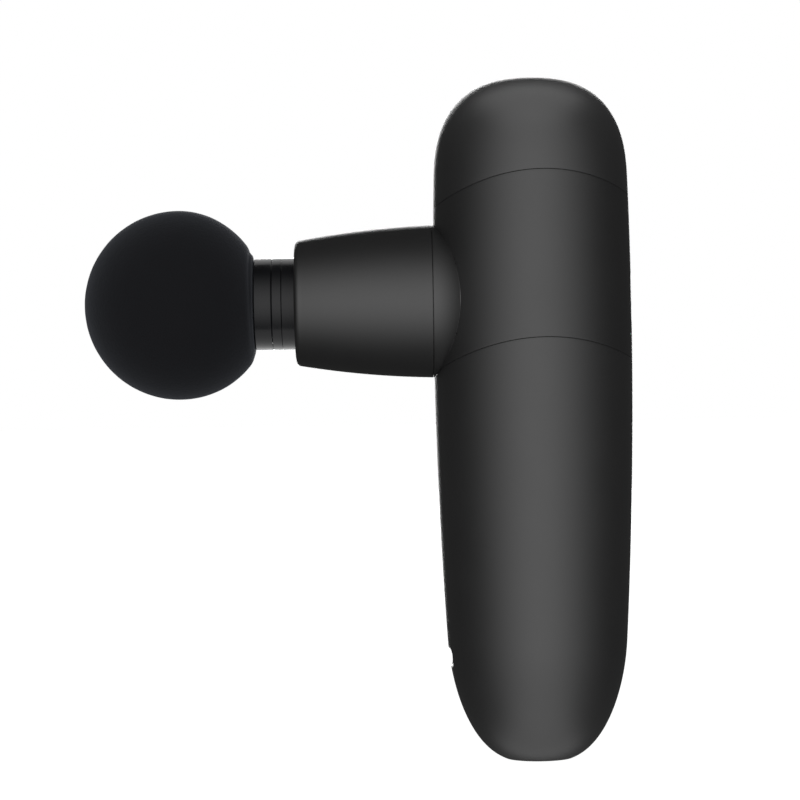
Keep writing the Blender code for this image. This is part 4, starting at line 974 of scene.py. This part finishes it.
def make_piston():
    """The polished piston with its cup for the rod, its socket for the head and its end ring."""
    neck = PISTON_RADIUS - PISTON_NECK_STEP
    seat = PISTON_FRONT - RUNNING_GAP
    shoulder = PISTON_FRONT - END_RING_LENGTH - 2 * HALF_GAP
    cup = PISTON_RADIUS - PISTON_CUP_WALL
    cup_end = PISTON_TAIL + PISTON_CUP_DEPTH
    socket_end = PISTON_FRONT - SOCKET_DEPTH
    corners = [
        (SOCKET_RADIUS, seat),
        (neck, seat),
        (neck, shoulder),
        (PISTON_RADIUS, shoulder),
        (PISTON_RADIUS, PISTON_TAIL),
        (cup, PISTON_TAIL),
        (cup, cup_end),
        (0, cup_end),
    ]
    rounds = (0.4 * MM, 0, 0, 0.15 * MM, 0.4 * MM, 0.3 * MM, 0, 0)
    points = softened(corners, rounds) + [(0, socket_end), (SOCKET_RADIUS, socket_end)]
    form = bmesh.new()
    rings = [plain_ring(*point) for point in points]
    cut = len(points) - 2
    spin_rings(form, rings[cut:] + rings[:cut], on_barrel, 160, closed=False)
    named_piece("piston_polished", form, "piston", "gloss_black", ["piston"])

    inner = neck + RUNNING_GAP
    back = PISTON_FRONT - END_RING_LENGTH
    corners = [(inner, PISTON_FRONT), (PISTON_RADIUS, PISTON_FRONT), (PISTON_RADIUS, back), (inner, back)]
    ring = softened(corners, (0.2 * MM, 0.2 * MM, 0.12 * MM, 0))
    named_piece("socket_ring_polished", turned(ring, on_barrel), "piston", "gloss_black", ["socket_ring"])


def make_head_stem():
    """Collar, plug with two O-ring grooves, and the core inside the ball."""
    core_end = BALL_BACK + CORE_LENGTH
    face = BALL_BACK - 2 * HALF_GAP
    groove = PLUG_RADIUS - GROOVE_DEPTH
    half = O_RING_SECTION + RUNNING_GAP
    plug_end = PISTON_FRONT - SOCKET_DEPTH + PLUG_ROOM
    corners = [
        (0, core_end),
        (CORE_RADIUS, core_end),
        (CORE_RADIUS, face),
        (PISTON_RADIUS, face),
        (PISTON_RADIUS, STEM_BACK),
        (PLUG_RADIUS, STEM_BACK),
    ]
    rounds = [0, 1 * MM, 0, 0.25 * MM, 0.25 * MM, 0]
    for place in O_RING_PLACES:
        middle = HEAD_BACK - place
        corners += [
            (PLUG_RADIUS, middle + half),
            (groove, middle + half),
            (groove, middle - half),
            (PLUG_RADIUS, middle - half),
        ]
        rounds += [0.15 * MM, 0, 0, 0.15 * MM]
    corners += [(PLUG_RADIUS, plug_end), (0, plug_end)]
    rounds += [0.7 * MM, 0]
    form = turned(softened(corners, rounds), on_barrel)
    named_piece("head_stem_polished", form, "head", "gloss_black", ["head_stem"])
    for number, place in enumerate(O_RING_PLACES, 1):
        middle = (groove + RUNNING_GAP + O_RING_SECTION, HEAD_BACK - place)
        section = arc(middle, O_RING_SECTION, 0, -360, 20)[:-1]
        node = f"head_o_ring_{number}"
        named_piece(f"{node}_moulded", turned(section, on_barrel, 96), "head_seals", "foot_rubber", [node])


def make_foam_ball():
    """The foam ball: cut flat where the stem enters, with a soft edge and a faintly uneven skin."""
    centre = BALL_FRONT - BALL_RADIUS
    opening = math.degrees(math.asin((centre - BALL_BACK) / BALL_RADIUS))
    bore = CORE_RADIUS + RUNNING_GAP
    core_end = BALL_BACK + CORE_LENGTH + RUNNING_GAP
    edge_turn = math.degrees(BALL_EDGE / BALL_RADIUS)
    points = arc((0, centre), BALL_RADIUS, 90, edge_turn - opening, 96)
    points[0] = (0, BALL_FRONT)
    start = Vector(points[-1])
    flat_radius = BALL_RADIUS * math.cos(math.radians(opening))
    corner = Vector((flat_radius, BALL_BACK))
    end = Vector((flat_radius - BALL_EDGE, BALL_BACK))
    for step in range(1, 9):
        t = step / 8
        points.append(tuple(start * (1 - t) ** 2 + corner * 2 * t * (1 - t) + end * t**2))
    points += [(bore + 0.3 * MM, BALL_BACK), (bore, BALL_BACK + 0.3 * MM), (bore, core_end), (0, core_end)]
    form = turned(points, on_barrel, 256)
    middle = Vector((-centre, 0, BARREL_Z))
    for vertex in form.verts:
        out = vertex.co - middle
        if out.length > BALL_RADIUS * 0.8:
            way = out.normalized()
            swell = noise.noise(vertex.co / (3.5 * MM)) + 0.5 * noise.noise(vertex.co / (1.4 * MM))
            from_stem = math.hypot(vertex.co.y, vertex.co.z - BARREL_Z) - PISTON_RADIUS
            share = min(max(from_stem / BALL_SAG_FADE, 0), 1)
            sag = BALL_SAG * max(way.x, 0) ** 2 * (1 + BALL_SAG_LEAN * way.z) * share
            vertex.co -= way * (sag + BALL_SKIN * (1 + swell))
    ball = named_piece("foam_ball_moulded", form, "head", "foam_black", ["foam_ball"])


# ---------------------------------------------------------------- button, lights and port


def button_surface(y, z):
    """How far back the button's face lies: it follows the handle's round, slightly below it."""
    return math.sqrt((handle_radius(BARREL_Z + z) - BUTTON_SINK) ** 2 - y**2)


def make_power_button():
    """The button with its flange, and the plain power symbol printed on it."""
    edge = 0.3 * MM
    rim = BUTTON_RADIUS - edge
    inside = BUTTON_BACK + 0.4 * MM + BUTTON_FLANGE

    def face_ring(radius, depth):
        def place(angle):
            return radius, button_surface(radius * math.cos(angle), radius * math.sin(angle)) - depth

        return place

    rings = [face_ring(rim * step / 16, 0) for step in range(17)]
    rings += [face_ring(radius, -depth) for radius, depth in arc((rim, -edge), edge, 90, 0, 6)[1:]]
    flange = BUTTON_RADIUS + BUTTON_FLANGE
    flange_back = inside - BUTTON_FLANGE
    points = [(BUTTON_RADIUS, inside), (flange, inside), (flange, flange_back), (1.5 * MM, flange_back)]
    points += [(1.5 * MM, BUTTON_BACK), (0, BUTTON_BACK)]
    form = bmesh.new()
    spin_rings(form, rings + [plain_ring(*point) for point in points], on_back, 120, closed=False)
    named_piece("power_button_face", form, "button", "soft_black", ["power_button"])

    def stroke(name, path, steps):
        """A thin printed stroke on the button's face: path(across, along) gives its (y, z)."""
        form = bmesh.new()
        bmesh.ops.create_grid(form, x_segments=2, y_segments=steps, size=1)
        for vertex in form.verts:
            across = vertex.co.x
            along = (vertex.co.y + 1) / 2
            y, z = path(across, along)
            vertex.co = (button_surface(y, z), y, BARREL_Z + z)
        bmesh.ops.solidify(form, geom=form.faces, thickness=0.05 * MM)
        for vertex in form.verts:
            surface = button_surface(vertex.co.y, vertex.co.z - BARREL_Z)
            vertex.co.x = surface + (0.03 * MM if vertex.co.x > surface - 0.02 * MM else -0.05 * MM)
        named_piece(name, form, "button", "light_pipe", finish=printed_mark())

    def ring(across, along):
        turn = math.radians(90 + SYMBOL_GAP + (360 - 2 * SYMBOL_GAP) * along)
        radius = SYMBOL_RADIUS + across * SYMBOL_HALF_STROKE
        return radius * math.cos(turn), radius * math.sin(turn)

    def bar(across, along):
        return across * SYMBOL_HALF_STROKE, (0.55 + 1.65 * along) * MM

    stroke("power_symbol_ring", ring, 48)
    stroke("power_symbol_bar", bar, 8)


def make_light_guide():
    """The clear bar behind the wall and four domed pins that show as small round lights."""
    low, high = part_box("light_guide")
    bar_front = low.x + LIGHT_BAR_DEPTH
    size = Vector((bar_front - low.x, high.y - low.y, high.z - low.z))
    middle = Vector(((bar_front + low.x) / 2, 0, LIGHT_Z))
    form = rounded_box(size, middle, 0.25 * MM, 3)
    for y in LIGHT_PLACES:
        surface = math.sqrt(handle_radius(LIGHT_Z) ** 2 - y**2) - 0.02 * MM
        dome = arc((0, surface - LIGHT_DOME), LIGHT_DOME, 90, 0, 6)
        points = [plain_ring(*point) for point in dome] + [
            plain_ring(LIGHT_RADIUS, bar_front - 0.3 * MM),
            plain_ring(0, bar_front - 0.3 * MM),
        ]

        def pin(radius, forward, angle):
            return Vector((forward, y + radius * math.cos(angle), LIGHT_Z + radius * math.sin(angle)))

        spin_rings(form, points, pin, 24, closed=False)
    named_piece("light_guide_clear", form, "housing", "light_pipe", ["light_guide"])


def make_charging_socket():
    """The socket's drawn steel shell and the tongue inside it."""
    half_height = (SOCKET_BOX[1].z - SOCKET_BOX[0].z) / 2
    half_width = (SOCKET_BOX[1].y - SOCKET_BOX[0].y) / 2
    straight = half_width - half_height

    def oval(radius, forward, angle):
        y = radius * math.cos(angle)
        end = straight if y > 1e-9 else -straight if y < -1e-9 else 0
        return Vector((-forward, y + end, PORT_Z + radius * math.sin(angle)))

    skin = 0.35 * MM
    corners = [
        (half_height, SOCKET_FRONT),
        (half_height, SOCKET_BACK),
        (0.1 * MM, SOCKET_BACK),
        (0.1 * MM, SOCKET_BACK + 1 * MM),
        (half_height - skin, SOCKET_BACK + 1 * MM),
        (half_height - skin, SOCKET_FRONT),
    ]
    points = softened(corners, (0.12 * MM, 0.3 * MM, 0, 0, 0, 0.12 * MM))
    form = bmesh.new()
    spin_rings(form, [plain_ring(*point) for point in points], oval, 64)
    named_piece("charging_socket_shell", form, "housing", "steel", ["charging_socket"])
    length = SOCKET_FRONT - SOCKET_BACK - 1.3 * MM
    middle = (-(SOCKET_BACK + 0.5 * MM + length / 2), 0, PORT_Z)
    form = rounded_box((length, 6.6 * MM, 0.7 * MM), middle, 0.2 * MM, 2)
    named_piece("charging_socket_tongue", form, "housing", "chip")


# ---------------------------------------------------------------- studio


def studio_world():
    """White to the camera; to the object, one very wide soft light in front that fades to the sides."""
    world = bpy.data.worlds.new("studio")
    world.use_nodes = True
    bpy.context.scene.world = world
    tree = world.node_tree
    tree.nodes.clear()

    def node(kind, sockets, **settings):
        made = tree.nodes.new(kind)
        for name, value in settings.items():
            setattr(made, name, value)
        for name, value in sockets.items():
            if isinstance(value, bpy.types.NodeSocket):
                tree.links.new(value, made.inputs[name])
            else:
                made.inputs[name].default_value = value
        return made.outputs

    way = node("ShaderNodeTexCoord", {})["Generated"]
    frontal = node("ShaderNodeVectorMath", {0: way, 1: FRONT_LIGHT_FROM}, operation="DOT_PRODUCT")
    positive = node("ShaderNodeMath", {0: frontal["Value"], 1: 0}, operation="MAXIMUM")[0]
    fade = node("ShaderNodeMath", {0: positive, 1: FRONT_LIGHT_FADE}, operation="POWER", use_clamp=True)[0]
    levels = {"Value": fade, "To Min": AMBIENT_LIGHT, "To Max": FRONT_LIGHT}
    soft = node("ShaderNodeBackground", {"Strength": node("ShaderNodeMapRange", levels)[0]})[0]
    seen = node("ShaderNodeBackground", {"Color": (1, 1, 1, 1)})[0]
    ray = node("ShaderNodeLightPath", {})["Is Camera Ray"]
    mix = node("ShaderNodeMixShader", {0: ray, 1: soft, 2: seen})[0]
    node("ShaderNodeOutputWorld", {"Surface": mix})


def studio_floor():
    """A wide pale floor that shows only a breath of shadow."""
    form = bmesh.new()
    bmesh.ops.create_grid(form, x_segments=1, y_segments=1, size=8)
    bmesh.ops.translate(form, vec=(0, 0, -0.05 * MM), verts=form.verts)
    mesh = bpy.data.meshes.new("studio_floor")
    form.to_mesh(mesh)
    form.free()
    glow = {"Emission_Color": (1, 1, 1), "Emission_Strength": 0.97}
    pale = Finish("pale_floor", Roughness=1.0, Specular_IOR_Level=0.0, **glow)
    pale.set("Base Color", (0.25, 0.25, 0.25))
    mesh.materials.append(pale.material)
    floor = in_scene("studio_floor", mesh)
    floor.visible_diffuse = False
    floor.visible_glossy = False
    floor.visible_shadow = False


def soft_box(name, at, aim, size, power):
    """A square soft light that faces a point."""
    data = bpy.data.lights.new(name, "AREA")
    data.size = size
    data.energy = power
    light = in_scene(name, data)
    light.location = at
    light.rotation_euler = (Vector(aim) - Vector(at)).to_track_quat("-Z", "Y").to_euler()
    return light


def lit_only_for(light, pieces):
    """Keeps a light for some pieces alone, as a flag does in a studio."""
    light.light_linking.receiver_collection = pieces


def glow_panel(name, at, facing, size, power):
    """A wide panel that is parallel to the floor and faces up or down."""
    panel = soft_box(name, at, (at[0], at[1], at[2] + facing), size[0], power)
    panel.data.shape = "RECTANGLE"
    panel.data.size_y = size[1]
    return panel


def studio_lights():
    """A soft box behind the object, and two panels that light only the polished pieces."""
    soft_box("back_box", (-0.03, 1.7, 0.35), OBJECT_MIDDLE, 0.9, 20)
    under = glow_panel("panel_under", (STEM_X, 0.45, BARREL_Z - 0.25), 1, (0.6, 1.1), 3.1)
    over = glow_panel("panel_over", (STEM_X, 0.56, BARREL_Z + 0.25), -1, (0.6, 0.9), 2.5)
    lit_only_for(under, POLISHED)
    lit_only_for(over, POLISHED)


def end_lights():
    """Soft boxes above and below the object, each for the shell at its end."""
    for height, power, covered in END_BOXES:
        light = soft_box(f"end_box_{covered}", (0, -0.15, height), (0, -0.15, 0.075), 0.9, power)
        ends = bpy.data.collections.new(f"only_{covered}")
        ends.objects.link(bpy.data.objects[covered])
        lit_only_for(light, ends)


def make_camera():
    """A long lens level with the barrel's lower half, rolled slightly."""
    data = bpy.data.cameras.new("camera")
    data.sensor_width = 36
    data.lens = 121.5
    camera = in_scene("camera", data)
    camera.location = (-29.7 * MM, -0.6, 79.8 * MM)
    turn = Matrix.Rotation(math.radians(90), 4, "X") @ Matrix.Rotation(math.radians(-0.93), 4, "Z")
    camera.rotation_euler = turn.to_euler()
    bpy.context.scene.camera = camera


make_camera()
studio_world()
studio_floor()
studio_lights()
bpy.context.scene.view_settings.view_transform = "Standard"

for subpart in frame["record"]["subparts"]:
    for holder in frame["nodes"][subpart["node"]].material_slots:
        holder.material = FINISHES[subpart["material_slot"]]

make_top_cap()
make_upper_housing()
make_grip_shell()
make_barrel()
make_foot_pad()
make_piston()
make_head_stem()
make_foam_ball()
make_power_button()
make_light_guide()
make_charging_socket()

end_lights()
